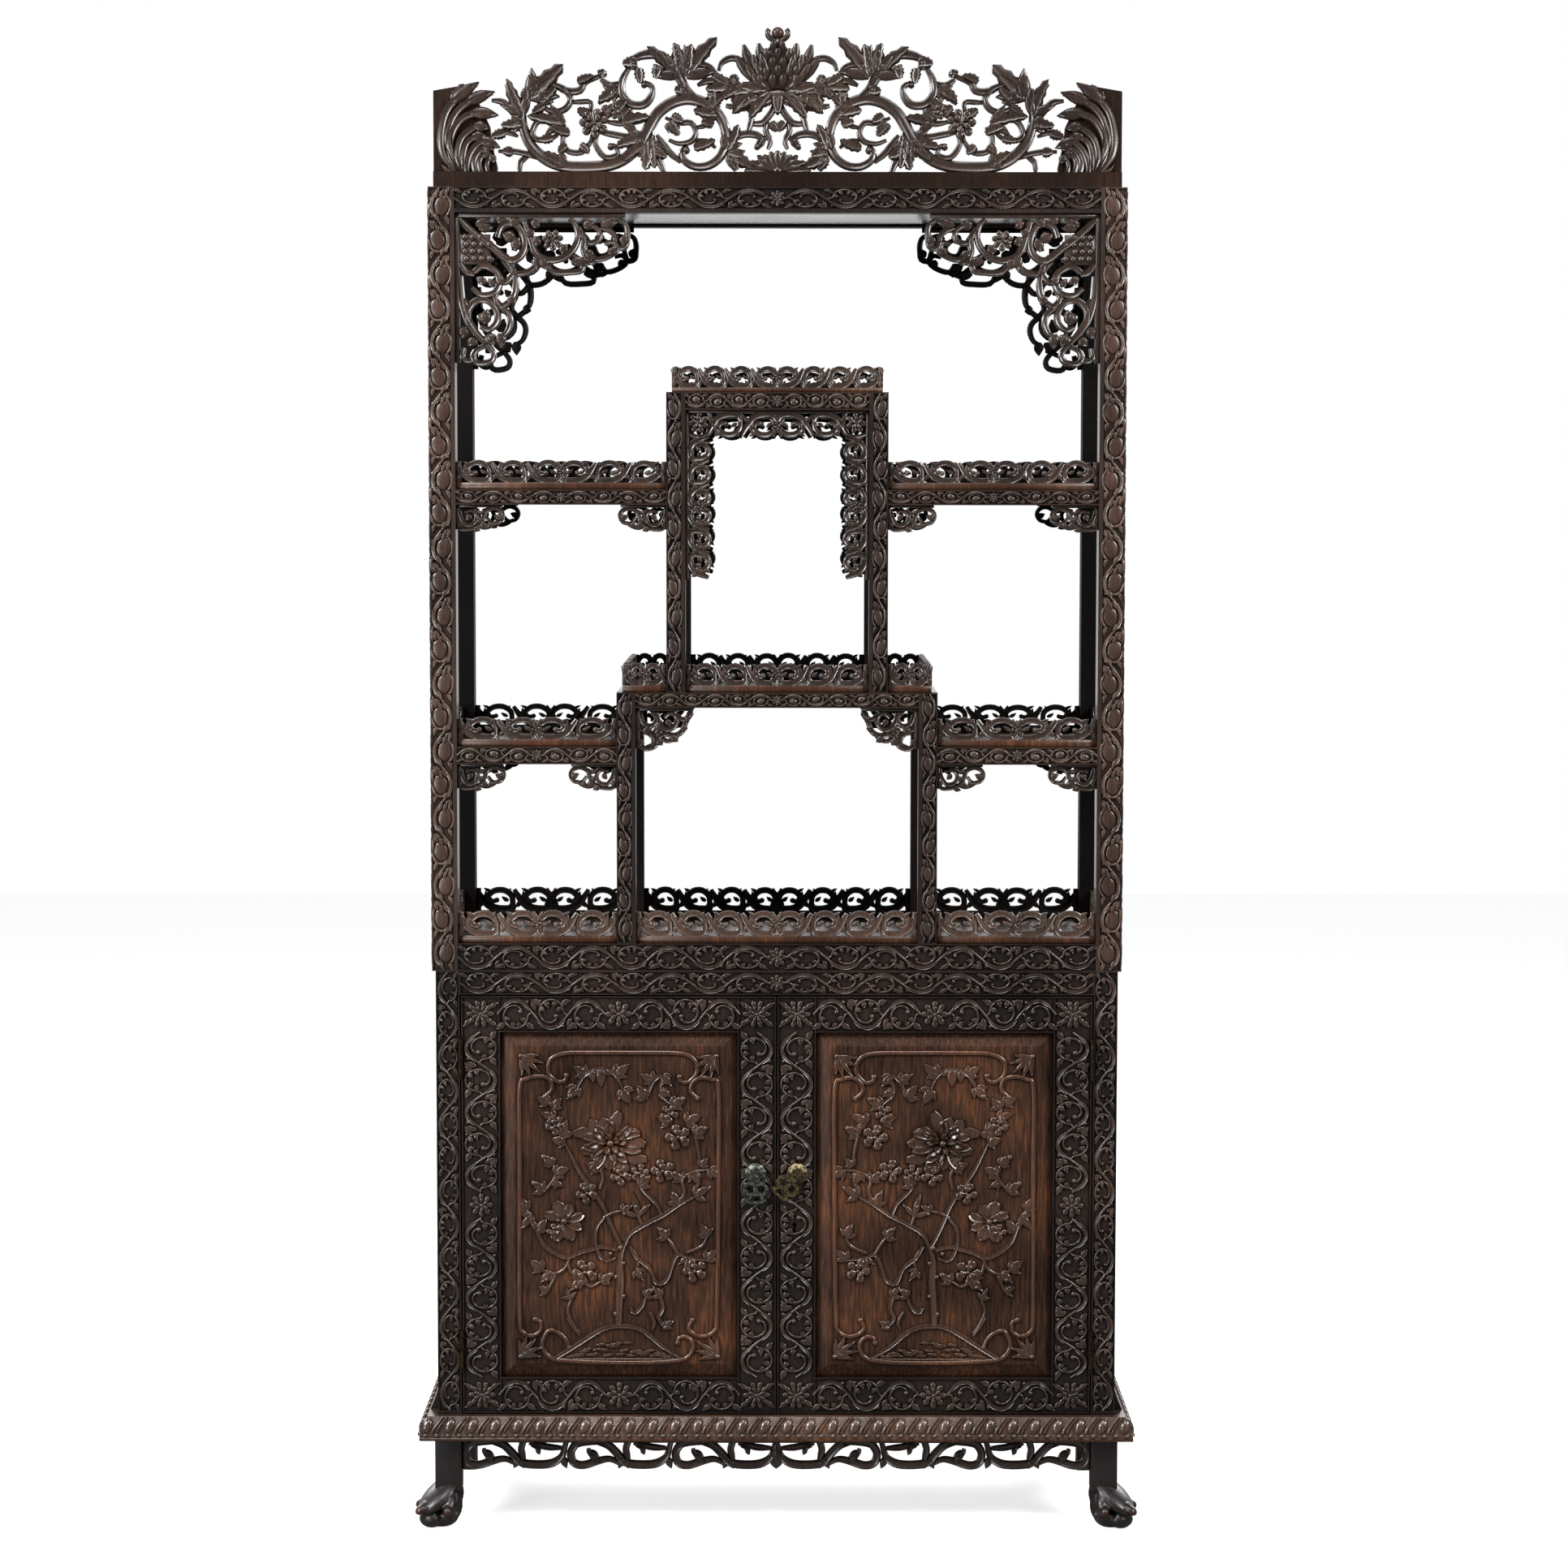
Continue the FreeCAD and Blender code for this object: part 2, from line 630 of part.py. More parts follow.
def build_door(hand, side):
    """One door: hinge stile, lock stile, two rails and a raised panel."""
    outer = "(" + DOOR_OUTER + ")"
    inner = "door_gap / 2"
    wide = "thin_border"
    frame = (wide, wide, "thin_border", "thin_border")
    hinge_left = "-" + outer if hand < 0 else outer + " - door_stile"
    lock_left = "-(" + inner + " + door_stile)" if hand < 0 else inner
    rail_left = "door_stile - " + outer if hand < 0 else inner + " + door_stile"
    towards = "right" if hand < 0 else "left"
    away = "left" if hand < 0 else "right"
    door_piece(side + "_door_hinge_stile", "door_stile", DOOR_HEIGHT, hinge_left, DOOR_FOOT, frame, [towards])
    door_piece(side + "_door_top_rail", PANEL_WIDTH, "door_rail", rail_left,
               DOOR_FOOT + " + " + DOOR_HEIGHT + " - door_rail", ("0", "0", "thin_border", "thin_border"),
               ["foot"])
    door_piece(side + "_door_bottom_rail", PANEL_WIDTH, "door_rail", rail_left, DOOR_FOOT,
               ("0", "0", "thin_border", "thin_border"), ["head"])
    stile = door_piece(side + "_door_lock_stile", "door_stile", DOOR_HEIGHT, lock_left, DOOR_FOOT, frame, [away])
    cut_for_lock(stile, hand)
    build_panel(side + "_door_panel", rail_left)


def cut_for_lock(stile, hand):
    """Mortise for the lock's bolt in the left stile; recess for the lock and keyhole in the right one."""
    name = stile.Label
    bolt_back = "door_thickness - lock_thickness + (lock_thickness - bolt_thickness) / 2 - fit"
    if hand < 0:
        pocket(stile, "YZ_Plane", name + "Mortise", "bolt_thickness + 2 * fit", "bolt_height + 2 * fit",
               "bolt_throw + 2", bolt_back, "lock_level - bolt_height / 2 - fit", "door_stile")
        return
    pocket(stile, "XZ_Plane", name + "LockRecess", "lock_width + fit", "lock_height + 2 * fit",
           "lock_thickness", "0", "lock_level - lock_height / 2 - fit", "-door_thickness", True)
    pocket(stile, "XZ_Plane", name + "KeySlot", "keyhole_width * 0.45", "keyhole_height * 0.7",
           "door_thickness - lock_thickness", "pull_offset - door_gap / 2 - keyhole_width * 0.8",
           "lock_level - keyhole_height / 2")
    plane = next(item for item in stile.Origin.OriginFeatures if item.Role == "XZ_Plane")
    ring = stile.newObject("Sketcher::SketchObject", name + "KeyRing")
    ring.AttachmentSupport = (plane, [""])
    ring.MapMode = "FlatFace"
    ring.addGeometry(Part.Circle(V(0, 0, 0), V(0, 0, 1), 3), False)
    ring.addConstraint(Sketcher.Constraint("Coincident", 0, 3, -1, 1))
    ring.addConstraint(Sketcher.Constraint("Diameter", 0, 6))
    ring.renameConstraint(1, "bore")
    ring.setExpression("Constraints.bore", bound("keyhole_width"))
    ring.setExpression(".AttachmentOffset.Base.x",
                       bound("pull_offset - door_gap / 2 - keyhole_width * 0.575"))
    ring.setExpression(".AttachmentOffset.Base.y",
                       bound("lock_level + keyhole_height / 2 - keyhole_width / 2"))
    hole = stile.newObject("PartDesign::Pocket", name + "KeyHole")
    hole.Profile = ring
    hole.setExpression("Length", bound("door_thickness - lock_thickness"))


def build_panel(label, rail_left):
    """A raised panel: a tongue all round, a sloping border and a flat field."""
    body = doc.addObject("PartDesign::Body", label)
    body.Label = label
    reach = "(groove_depth - fit)"
    tongue = rectangle(body, "XZ_Plane", label + "Tongue", PANEL_WIDTH + " + 2 * " + reach,
                       PANEL_HEIGHT + " + 2 * " + reach, "-" + reach, "-" + reach, "-panel_setback")
    board = body.newObject("PartDesign::Pad", label + "Board")
    board.Profile = tongue
    board.Reversed = True
    board.setExpression("Length", bound("panel_tongue"))
    base = rectangle(body, "XZ_Plane", label + "Base", PANEL_WIDTH, PANEL_HEIGHT, "0", "0", "-panel_setback")
    field = rectangle(body, "XZ_Plane", label + "Field", PANEL_WIDTH + " - 2 * panel_bevel",
                      PANEL_HEIGHT + " - 2 * panel_bevel", "panel_bevel", "panel_bevel",
                      "panel_rise - panel_setback")
    rise = body.newObject("PartDesign::AdditiveLoft", label + "Rise")
    rise.Profile = base
    rise.Sections = [field]
    rise.Ruled = True
    place(body, rail_left, FRONT, DOOR_FOOT + " + door_rail")


# Hinges, lock and pulls


def build_hinges():
    """Two lift-off hinges a side: the lower knuckle and its fixed pin on the case, the upper one on the door."""
    knuckle = "(hinge_height / 2 - fit / 2)"
    axis_y = FRONT + " - hinge_proud"
    case_leaves = []
    for hand, side in ((-1, "left"), (1, "right")):
        leaves = []
        axis_x = f"{hand} * (case_width / 2 - case_post - door_gap / 2)"
        towards_door = axis_x + (" + fit / 2" if hand < 0 else " - fit / 2 - hinge_leaf")
        towards_post = axis_x + (" - fit / 2 - hinge_leaf" if hand < 0 else " + fit / 2")
        for where, level in (("Low", DOOR_FOOT + " + hinge_end_distance"),
                             ("High", DOOR_FOOT + " + " + DOOR_HEIGHT + " - hinge_end_distance")):
            name = side.capitalize() + where
            foot = level + " - hinge_height / 2"
            middle = level + " + fit / 2"
            lower = hinge_half("CaseLeaf" + name, towards_post, foot, knuckle, axis_x, axis_y)
            pin = rod("Pin" + name, "hinge_pin", "hinge_height", axis_x, axis_y, foot)
            case_leaves.append(fuse("CaseLeafAndPin" + name, [lower, pin]))
            upper = hinge_half("DoorKnuckle" + name, towards_door, middle, knuckle, axis_x, axis_y)
            bore = rod("Bore" + name, "hinge_pin + fit", knuckle, axis_x, axis_y, middle)
            leaves.append(cut("DoorLeaf" + name, upper, bore))
        group(side + "_door_hinge_leaves", leaves)
    group("hinge_case_leaves", case_leaves)


def hinge_half(name, left, low, tall, axis_x, axis_y):
    """A leaf in the gap beside the door, with its knuckle."""
    knuckle = doc.addObject("Part::Prism", name + "Knuckle")
    knuckle.Polygon = 10
    knuckle.setExpression("Circumradius", bound("hinge_barrel / 2"))
    knuckle.setExpression("Height", bound(tall))
    place(knuckle, axis_x, axis_y, low)
    plate = block(name + "Plate", "hinge_leaf", "hinge_leaf_width + hinge_proud", tall, left, axis_y, low)
    return fuse(name, [knuckle, plate])


def build_lock():
    """A lock let into the back of the right door, with a bolt that slides towards the left door."""
    left = "door_gap / 2"
    level = DOOR_FOOT + " + lock_level"
    behind = FRONT + " + door_thickness - lock_thickness"
    shell = block("LockShell", "lock_width", "lock_thickness", "lock_height", left, behind,
                  level + " - lock_height / 2")
    slot = block("LockSlot", "bolt_length + bolt_throw / 4 + fit", "bolt_thickness + 2 * fit",
                 "bolt_height + 2 * fit", left, behind + " + (lock_thickness - bolt_thickness) / 2 - fit",
                 level + " - bolt_height / 2 - fit")
    cut("lock_case", shell, slot)
    block("lock_bolt", "bolt_length", "bolt_thickness", "bolt_height", left + " + fit",
          behind + " + (lock_thickness - bolt_thickness) / 2", level + " - bolt_height / 2")


# The openwork drop of a pull, drawn 38 wide and 42 long from its pin at 0 downwards
DROP_WIDTH = 38.0
DROP_HEIGHT = 42.0
DROP_OUTLINE = [(-3, -6), (-4, -9), (-13, -11), (-19, -19), (-17, -28), (-11, -32), (-16, -38), (-8, -42),
                (8, -42), (16, -38), (11, -32), (17, -28), (19, -19), (13, -11), (4, -9), (3, -6)]
DROP_HOLES = [
    [(-10, -27), (-3, -25), (-3, -16), (-9, -15), (-14, -20)],
    [(3, -25), (10, -27), (14, -20), (9, -15), (3, -16)],
    [(-9, -38), (9, -38), (6, -31), (-6, -31)],
]


def pull_boss():
    """A round boss with a chamfered face in flats, seated on the sunk ground and bored for the eye's shank."""
    sink = size("field_sink")
    rise = size("pull_boss_rise")
    radius = size("pull_boss") / 2
    sides = 12
    rings = []
    for out, share in ((-sink, 1.0), (0.35 * rise, 1.0), (rise, 0.6)):
        rings.append([V(x, -out, z) for x, z in rounded(0, 0, radius * share, sides)])
    bore = Part.makeCylinder(size("pull_shank") / 2 + size("fit"), rise + sink, V(0, -rise, 0), V(0, 1, 0))
    return faceted(rings).cut(bore)


def pull_pin_place():
    """Where the drop's pin runs, in front of the door and above the boss's middle."""
    return -size("pull_boss_rise") - size("fit") - size("pull_eye_depth") / 2


def pull_eye():
    """The squared shank that turns in the boss's round bore, and a head bored for the drop's pin."""
    wide = size("pull_eye")
    deep = size("pull_eye_depth")
    rise = size("pull_boss_rise")
    behind = -rise - size("fit")
    shank = size("pull_shank") / math.sqrt(2)
    stem = Part.makeBox(shank, rise + size("field_sink"), shank, V(-shank / 2, behind, -shank / 2))
    head = Part.makeBox(wide, deep, wide, V(-wide / 2, behind - deep, -wide / 2))
    bore = Part.makeCylinder(size("pull_pin") / 2 + size("fit"), wide, V(-wide / 2, pull_pin_place(), 0),
                             V(1, 0, 0))
    return stem.fuse(head).cut(bore).removeSplitter()


def pull_drop():
    """The openwork drop, with a fork that straddles the eye and the pin through both."""
    wide = size("pull_eye")
    thick = size("pull_drop_thickness")
    pin = size("pull_pin") / 2
    pin_y = pull_pin_place()
    cheek = 1.8
    reach = wide / 2 + size("fit")
    fork_foot = wide / 2 + 4
    across = size("pull_drop_width") / DROP_WIDTH
    down = size("pull_drop_height") / DROP_HEIGHT
    plate = pierced(scaled(DROP_OUTLINE, across, down), [scaled(hole, across, down) for hole in DROP_HOLES],
                    thick)
    plate.translate(V(0, pin_y - thick / 2, 0))
    pieces = [Part.makeBox(2 * (reach + cheek), thick, 2.5, V(-reach - cheek, pin_y - thick / 2, -fork_foot))]
    for start in (-reach - cheek, reach):
        pieces.append(Part.makeBox(cheek, thick, fork_foot + pin, V(start, pin_y - thick / 2, -fork_foot)))
    pieces.append(Part.makeCylinder(pin, 2 * (reach + cheek), V(-reach - cheek, pin_y, 0), V(1, 0, 0)))
    return plate.fuse(pieces).removeSplitter()


def build_pull(hand, side):
    """A boss on the stile, an eye turning in it and a drop hanging in the eye; the right one hangs askew."""
    x = f"{hand} * pull_offset"
    level = DOOR_FOOT + " + pull_level"
    solid(side + "_pull_boss", pull_boss(), x, FRONT, level)
    tilt = size("pull_tilt") if hand > 0 else 0
    for label, piece in ((side + "_pull_eye", pull_eye()), (side + "_pull_drop", pull_drop())):
        piece.rotate(V(0, 0, 0), V(0, 1, 0), tilt)
        solid(label, piece, x, FRONT, level)


# Shelf unit


def build_corner_posts():
    half = "unit_width / 2"
    border_left = ("thin_border", "plain_border", "thin_border", "thin_border")
    border_right = ("plain_border", "thin_border", "thin_border", "thin_border")
    rear = BACK + " - post"
    bar("left_front_post", "post", "post", "unit_height", "-" + half, FRONT, UNIT_FOOT, border_left, "left")
    bar("right_front_post", "post", "post", "unit_height", half + " - post", FRONT, UNIT_FOOT,
        border_right, "right")
    bar("left_rear_post", "post", "post", "unit_height", "-" + half, rear, UNIT_FOOT, None, "left")
    bar("right_rear_post", "post", "post", "unit_height", half + " - post", rear, UNIT_FOOT, None, "right")


def build_unit_frame():
    half = "unit_width / 2"
    clear = "2 * " + POST_INNER
    start = "-" + POST_INNER
    level = UNIT_TOP + " - top_rail"
    bar("front_top_rail", clear, "rail_thickness", "top_rail", start, FRONT, level,
        ("0", "0", "plain_border", "thin_border"))
    back = block("TopRailBack", clear, "rail_thickness", "top_rail", start, BACK + " - rail_thickness", level)
    between = "case_depth - 2 * post"
    sides = []
    for name, left in (("Left", "-" + half), ("Right", half + " - rail_thickness")):
        sides.append(block("TopRail" + name, "rail_thickness", between, "top_rail", left,
                           FRONT + " + post", level))
    group("back_and_side_top_rails", [back] + sides)
    deep = "case_depth - 2 * rail_thickness"
    wide_board = block("TopBoardWide", "unit_width - 2 * rail_thickness", between, "board",
                       "rail_thickness - " + half, FRONT + " + post", level + " + top_board_rise")
    deep_board = block("TopBoardDeep", clear, deep, "board", start, FRONT + " + rail_thickness",
                       level + " + top_board_rise")
    fuse("top_board", [wide_board, deep_board])
    bar("front_bottom_rail", clear, "rail_thickness", "bottom_rail", start, FRONT, UNIT_FOOT,
        ("0", "0", "thin_border", "thin_border"))
    pieces = [
        block("FloorBack", clear, "rail_thickness", "bottom_rail", start, BACK + " - rail_thickness",
              UNIT_FOOT),
        block("FloorDeep", clear, deep, "board", start, FRONT + " + rail_thickness", FLOOR_TOP + " - board"),
        block("FloorWide", "unit_width - 2 * rail_thickness", between, "board", "rail_thickness - " + half,
              FRONT + " + post", FLOOR_TOP + " - board"),
    ]
    for name, left in (("Left", "-" + half), ("Right", half + " - rail_thickness")):
        pieces.append(block("Floor" + name, "rail_thickness", between, "bottom_rail", left,
                            FRONT + " + post", UNIT_FOOT))
    fuse("floor_board", pieces)


def shelf_board(name, near, far, inner_reach, outer_reach, post_deep, which):
    """A shelf with a carved front edge: narrow between the posts, wider between front and back posts."""
    level, edge, _ = SHELVES[which]
    low = UNIT_FOOT + " + " + level + " - " + edge
    whole = block(name + "Whole", f"({far}) - ({near})", "case_depth", edge, near, FRONT, low)
    field = block(name + "Field", f"({far}) - ({near})", "field_sink", edge + " - 2 * thin_border", near,
                  FRONT, low + " + thin_border")
    carved = cut(name + "Carved", whole, field)
    wide = block(name + "Wide", f"({outer_reach}) - ({inner_reach})", f"case_depth - 2 * ({post_deep})", edge,
                 inner_reach, FRONT + f" + {post_deep}", low)
    return fuse(name, [carved, wide])


def build_shelves():
    for which, label in (("low", "lower_side_shelves"), ("high", "upper_side_shelves")):
        inner = SHELVES[which][2]
        outer_reach = "(unit_width / 2 - side_margin)"
        inner_reach = f"({inner} - small_post / 2)"
        right = shelf_board(label + "Right", inner, POST_INNER, inner_reach, outer_reach, "post", which)
        left = shelf_board(label + "Left", "-" + POST_INNER, "-" + inner, "-" + outer_reach,
                           "-" + inner_reach, "post", which)
        group(label, [left, right])
    for which, label in (("middle", "middle_shelf"), ("tower", "tower_top")):
        inner = f"({SHELVES[which][2]} - small_post)"
        outer = SHELVES[which][2]
        shelf_board(label, "-" + inner, inner, "-" + outer, outer, "small_post", which)


def build_small_posts():
    """The four posts of the lower box and the four of the tower above it."""
    rear = BACK + " - small_post"
    stands = [
        ("lower_box_posts", "box_half_width", FLOOR_TOP, "middle_shelf_level - bottom_rail"),
        ("tower_posts", "tower_half_width", UNIT_FOOT + " + middle_shelf_level",
         "tower_level - middle_shelf_level"),
    ]
    for label, half, foot, tall in stands:
        pieces = []
        for hand, left in (("Left", "-" + half), ("Right", half + " - small_post")):
            inner_first = hand == "Right"
            near = "plain_border" if inner_first else "thin_border"
            far = "thin_border" if inner_first else "plain_border"
            pieces.append(bar(label + hand + "Front", "small_post", "small_post", tall, left, FRONT, foot,
                              (near, far, "thin_border", "thin_border")))
            pieces.append(bar(label + hand + "Back", "small_post", "small_post", tall, left, rear, foot))
        group(label, pieces)


def build_galleries():
    post = size("post")
    inner = value(POST_INNER)
    box = size("box_half_width")
    tower = size("tower_half_width")
    small = size("small_post")
    depth = size("case_depth")
    inset = size("gallery_setback")
    thick = size("gallery")
    margin = size("side_margin")
    shelf_tall = size("shelf_gallery_height")
    gallery_set("floor_gallery", FLOOR_TOP, size("floor_gallery_height"),
                [(-inner, -box), (small - box, box - small), (box, inner)], [])
    left_face = -size("unit_width") / 2 + margin + inset
    sides = [(left_face, post, depth - post), (-left_face - thick, post, depth - post)]
    gallery_set("lower_shelf_gallery", UNIT_FOOT + " + low_shelf_level", shelf_tall,
                [(-inner, -box), (box, inner)], sides)
    gallery_set("upper_shelf_gallery", UNIT_FOOT + " + high_shelf_level", shelf_tall,
                [(-inner, -tower), (tower, inner)], sides)
    face = inset + thick
    returns = [(inset - box, face, depth - face), (box - inset - thick, face, depth - face)]
    gallery_set("middle_gallery", UNIT_FOOT + " + middle_shelf_level", shelf_tall,
                [(inset - box, -tower), (small - tower, tower - small), (tower, box - inset)], returns)
    returns = [(inset - tower, face, depth - face), (tower - inset - thick, face, depth - face)]
    gallery_set("tower_gallery", UNIT_FOOT + " + tower_level", size("tower_gallery_height"),
                [(inset - tower, tower - inset)], returns)


# Corner bracket of the left side, its corner at 0, drawn 243 along the rail and 213 down the post
CORNER_LENGTH = 243.0
CORNER_DROP = 213.0
CORNER_OUTLINE = [
    (0, 0), (0, -213), (14, -213), (30, -204), (40, -186), (38, -170), (56, -150), (53, -128), (66, -110),
    (61, -90), (72, -66), (104, -68), (124, -63), (148, -68), (164, -55), (190, -54), (202, -43), (224, -40),
    (238, -24), (243, 0),
]
CORNER_HOLES = [
    [(8, -200), (24, -198), (30, -188), (26, -178), (8, -174)],
    [(12, -164), (34, -162), (44, -152), (36, -138), (12, -134)],
    [(16, -124), (42, -122), (52, -110), (46, -96), (16, -90)],
    [(8, -80), (28, -60), (10, -40)],
    [(24, -10), (50, -32), (66, -10)],
    [(58, -52), (82, -58), (96, -40), (88, -26), (68, -28)],
    [(106, -54), (136, -56), (146, -38), (138, -16), (106, -18)],
    [(156, -46), (180, -44), (186, -28), (180, -12), (156, -14)],
    [(196, -36), (216, -32), (226, -20), (220, -10), (194, -12)],
]
# Small bracket, drawn 68 along the shelf and 38 down the post
BRACKET_LENGTH = 68.0
BRACKET_DROP = 38.0
BRACKET_OUTLINE = [(0, 0), (0, -38), (14, -37), (30, -29), (48, -25), (62, -14), (68, 0)]
BRACKET_HOLES = [
    [(6, -28), (17, -27), (20, -9), (6, -12)],
    [(28, -21), (42, -17), (48, -8), (28, -8)],
]


def bracket_pair(outline, holes, half, length, drop, drawn_length, drawn_drop):
    """A left and a right bracket that hang in the top corners of an opening half wide each side."""
    across = length / drawn_length
    down = drop / drawn_drop
    left_outline = scaled(outline, across, down)
    left_holes = [scaled(hole, across, down) for hole in holes]
    thick = size("spandrel")
    left = pierced(left_outline, left_holes, thick)
    right = pierced(mirrored(left_outline), [mirrored(hole) for hole in left_holes], thick)
    left.translate(V(half[0], 0, 0))
    right.translate(V(half[1], 0, 0))
    return [left, right]


def front_and_back(pieces, level):
    """The same pieces just behind the front posts, and again at the back."""
    setback = size("spandrel_setback")
    depth = size("case_depth")
    placed = []
    for front in (setback, depth - setback - size("spandrel")):
        for piece in pieces:
            copy = piece.copy()
            copy.translate(V(0, front, level))
            placed.append(copy)
    return placed


def build_brackets():
    inner = value(POST_INNER)
    box = size("box_half_width")
    tower = size("tower_half_width")
    small = size("small_post")
    corner = bracket_pair(CORNER_OUTLINE, CORNER_HOLES, (-inner, inner), size("corner_length"),
                          size("corner_drop"), CORNER_LENGTH, CORNER_DROP)
    solid("corner_brackets", Part.makeCompound(front_and_back(corner, -size("top_rail"))), "0", FRONT, UNIT_TOP)
    placed = []
    for which in ("low", "high"):
        level, edge, near = SHELVES[which]
        under = size(level) - size(edge)
        for opening in ((-inner, -size(near)), (size(near), inner)):
            pair = bracket_pair(BRACKET_OUTLINE, BRACKET_HOLES, opening, size("bracket_length"),
                                size("bracket_drop"), BRACKET_LENGTH, BRACKET_DROP)
            placed += front_and_back(pair, under)
    pair = bracket_pair(BRACKET_OUTLINE, BRACKET_HOLES, (small - box, box - small), size("box_bracket_length"),
                        size("box_bracket_drop"), BRACKET_LENGTH, BRACKET_DROP)
    placed += front_and_back(pair, size("middle_shelf_level") - size("shelf_edge"))
    solid("shelf_brackets", Part.makeCompound(placed), "0", FRONT, UNIT_FOOT)
    build_frieze(tower - small)


def build_frieze(half):
    """The pierced border that hangs inside the top of the tower, front and back."""
    band = size("frieze_band")
    side = size("frieze_side")
    drop = size("frieze_drop")
    web = size("gallery_web")
    bays = max(1, round(2 * (half - side) / band))
    unit = 2 * (half - side) / bays
    rounds = max(1, round((drop - band) / (1.3 * side)))
    rise = (drop - band) / rounds
    down = [(-half, 0), (-half, -drop), (side - web - half, -drop)]
    holes = []
    for index in range(rounds):
        foot = index * rise - drop
        down.append((side - half, foot + 0.3 * rise))
        down.append((side - half - 0.4 * web, foot + rise))
        hole = pointed(1.4 * web - half, side - half - 1.2 * web, foot + web, foot + 0.6 * rise, foot + rise)
        holes += [hole, mirrored(hole)]
    across = []
    for index in range(bays):
        left = side - half + index * unit
        across.append((left + unit / 2, -band))
        across.append((left + unit, -band + (0 if index == bays - 1 else 0.4 * web)))
        holes.append(pointed(left + web / 2, left + unit - web / 2, 1.2 * web - band, -0.55 * band, -web))
    outline = down + across[:-1] + mirrored(down)
    frieze = pierced(outline, holes, size("spandrel"))
    level = size("tower_level") - size("tower_edge")
    solid("tower_frieze", Part.makeCompound(front_and_back([frieze], level)), "0", FRONT, UNIT_FOOT)


# Cresting, left half, from its outer end to the middle, drawn 484 wide and 200 high above its rail
CREST_HALF = 484.0
CREST_HEIGHT = 200.0
CREST_EDGE = [
    (-484, 113), (-443, 118), (-441, 104), (-421, 121), (-412, 110), (-398, 107), (-405, 97),
    (-385, 97), (-375, 118), (-368, 106), (-352, 114), (-354, 96), (-311, 140), (-318, 124),
    (-296, 113), (-275, 113), (-262, 128), (-248, 138), (-245, 128), (-226, 122),
    (-214, 151), (-174, 169), (-153, 160), (-146, 171), (-138, 162), (-125, 169),
    (-119, 159), (-94, 178), (-106, 154), (-87, 146), (-58, 162), (-42, 156), (-47, 178),
    (-28, 181), (-17, 172), (-16, 192), (-8, 200),
]
CREST_HOLES = [
    [(-402, 59), (-384, 60), (-378, 79), (-383, 90), (-402, 88)],
    [(-400, 45), (-383, 31), (-348, 29), (-372, 48)],
    [(-396, 3), (-367, 3), (-367, 20), (-396, 22)],
    [(-355, 3), (-327, 3), (-322, 10), (-351, 21)],
    rounded(-313, 103, 9),
    [(-350, 66), (-337, 79), (-313, 79), (-310, 88), (-344, 88)],
    rounded(-322, 57, 13),
    [(-292, 69), (-271, 79), (-275, 93), (-296, 90)],
    [(-297, 41), (-289, 29), (-271, 38), (-278, 52), (-296, 55)],
    [(-299, 14), (-250, 18), (-278, 24), (-306, 24)],
    [(-280, 104), (-250, 98), (-240, 112), (-262, 117)],
    rounded(-236, 40, 15),
    [(-243, 63), (-209, 56), (-181, 66), (-215, 70)],
    [(-219, 85), (-198, 77), (-169, 85), (-193, 92)],
    rounded(-198, 114, 15),
    [(-190, 135), (-160, 135), (-170, 154), (-192, 148)],
    [(-174, 107), (-156, 97), (-136, 110), (-144, 124), (-172, 122)],
    rounded(-109, 137, 12),
    [(-112, 110), (-94, 98), (-82, 107), (-94, 120)],
    rounded(-61, 140, 14),
    [(-144, 81), (-129, 75), (-104, 84), (-111, 94), (-139, 93)],
    rounded(-139, 52, 15),
    [(-108, 48), (-85, 52), (-87, 72), (-111, 66)],
    rounded(-112, 22, 16),
    [(-229, 3), (-162, 3), (-174, 14), (-205, 14)],
    [(-154, 3), (-136, 3), (-146, 24), (-172, 28)],
    [(-66, 59), (-38, 65), (-42, 90), (-73, 84)],
    [(-62, 24), (-45, 14), (-23, 29), (-35, 48), (-62, 41)],
    [(-21, 72), (-11, 79), (-9, 97), (-24, 100)],
]
CREST_HEART = [(0, 29), (8, 38), (7, 52), (0, 59), (-7, 52), (-8, 38)]


def build_cresting():
    """The pierced cresting on its plain rail, scrolls and leaves rising to a flower in the middle."""
    half = size("unit_width") / 2 - size("crest_margin")
    across = half / CREST_HALF
    up = size("crest_rise") / CREST_HEIGHT
    edge = scaled(CREST_EDGE, across, up)
    outline = [(-half, 0)] + edge + mirrored(edge) + [(half, 0)]
    holes = [scaled(hole, across, up) for hole in CREST_HOLES]
    holes += [mirrored(hole) for hole in holes]
    holes.append(scaled(CREST_HEART, across, up))
    solid("cresting", pierced(outline, holes, size("crest_thickness")), "0",
          FRONT + " + (crest_rail_thickness - crest_thickness) / 2", UNIT_TOP + " + crest_rail")
    block("cresting_rail", "unit_width - 2 * crest_margin", "crest_rail_thickness", "crest_rail",
          "crest_margin - unit_width / 2", FRONT, UNIT_TOP)


def build_all():
    build_legs()
    build_plinth()
    build_aprons()
    build_case()
    for hand, side in ((-1, "left"), (1, "right")):
        build_door(hand, side)
        build_pull(hand, side)
    build_hinges()
    build_lock()
    build_corner_posts()
    build_unit_frame()
    build_shelves()
    build_small_posts()
    build_galleries()
    build_brackets()
    build_cresting()


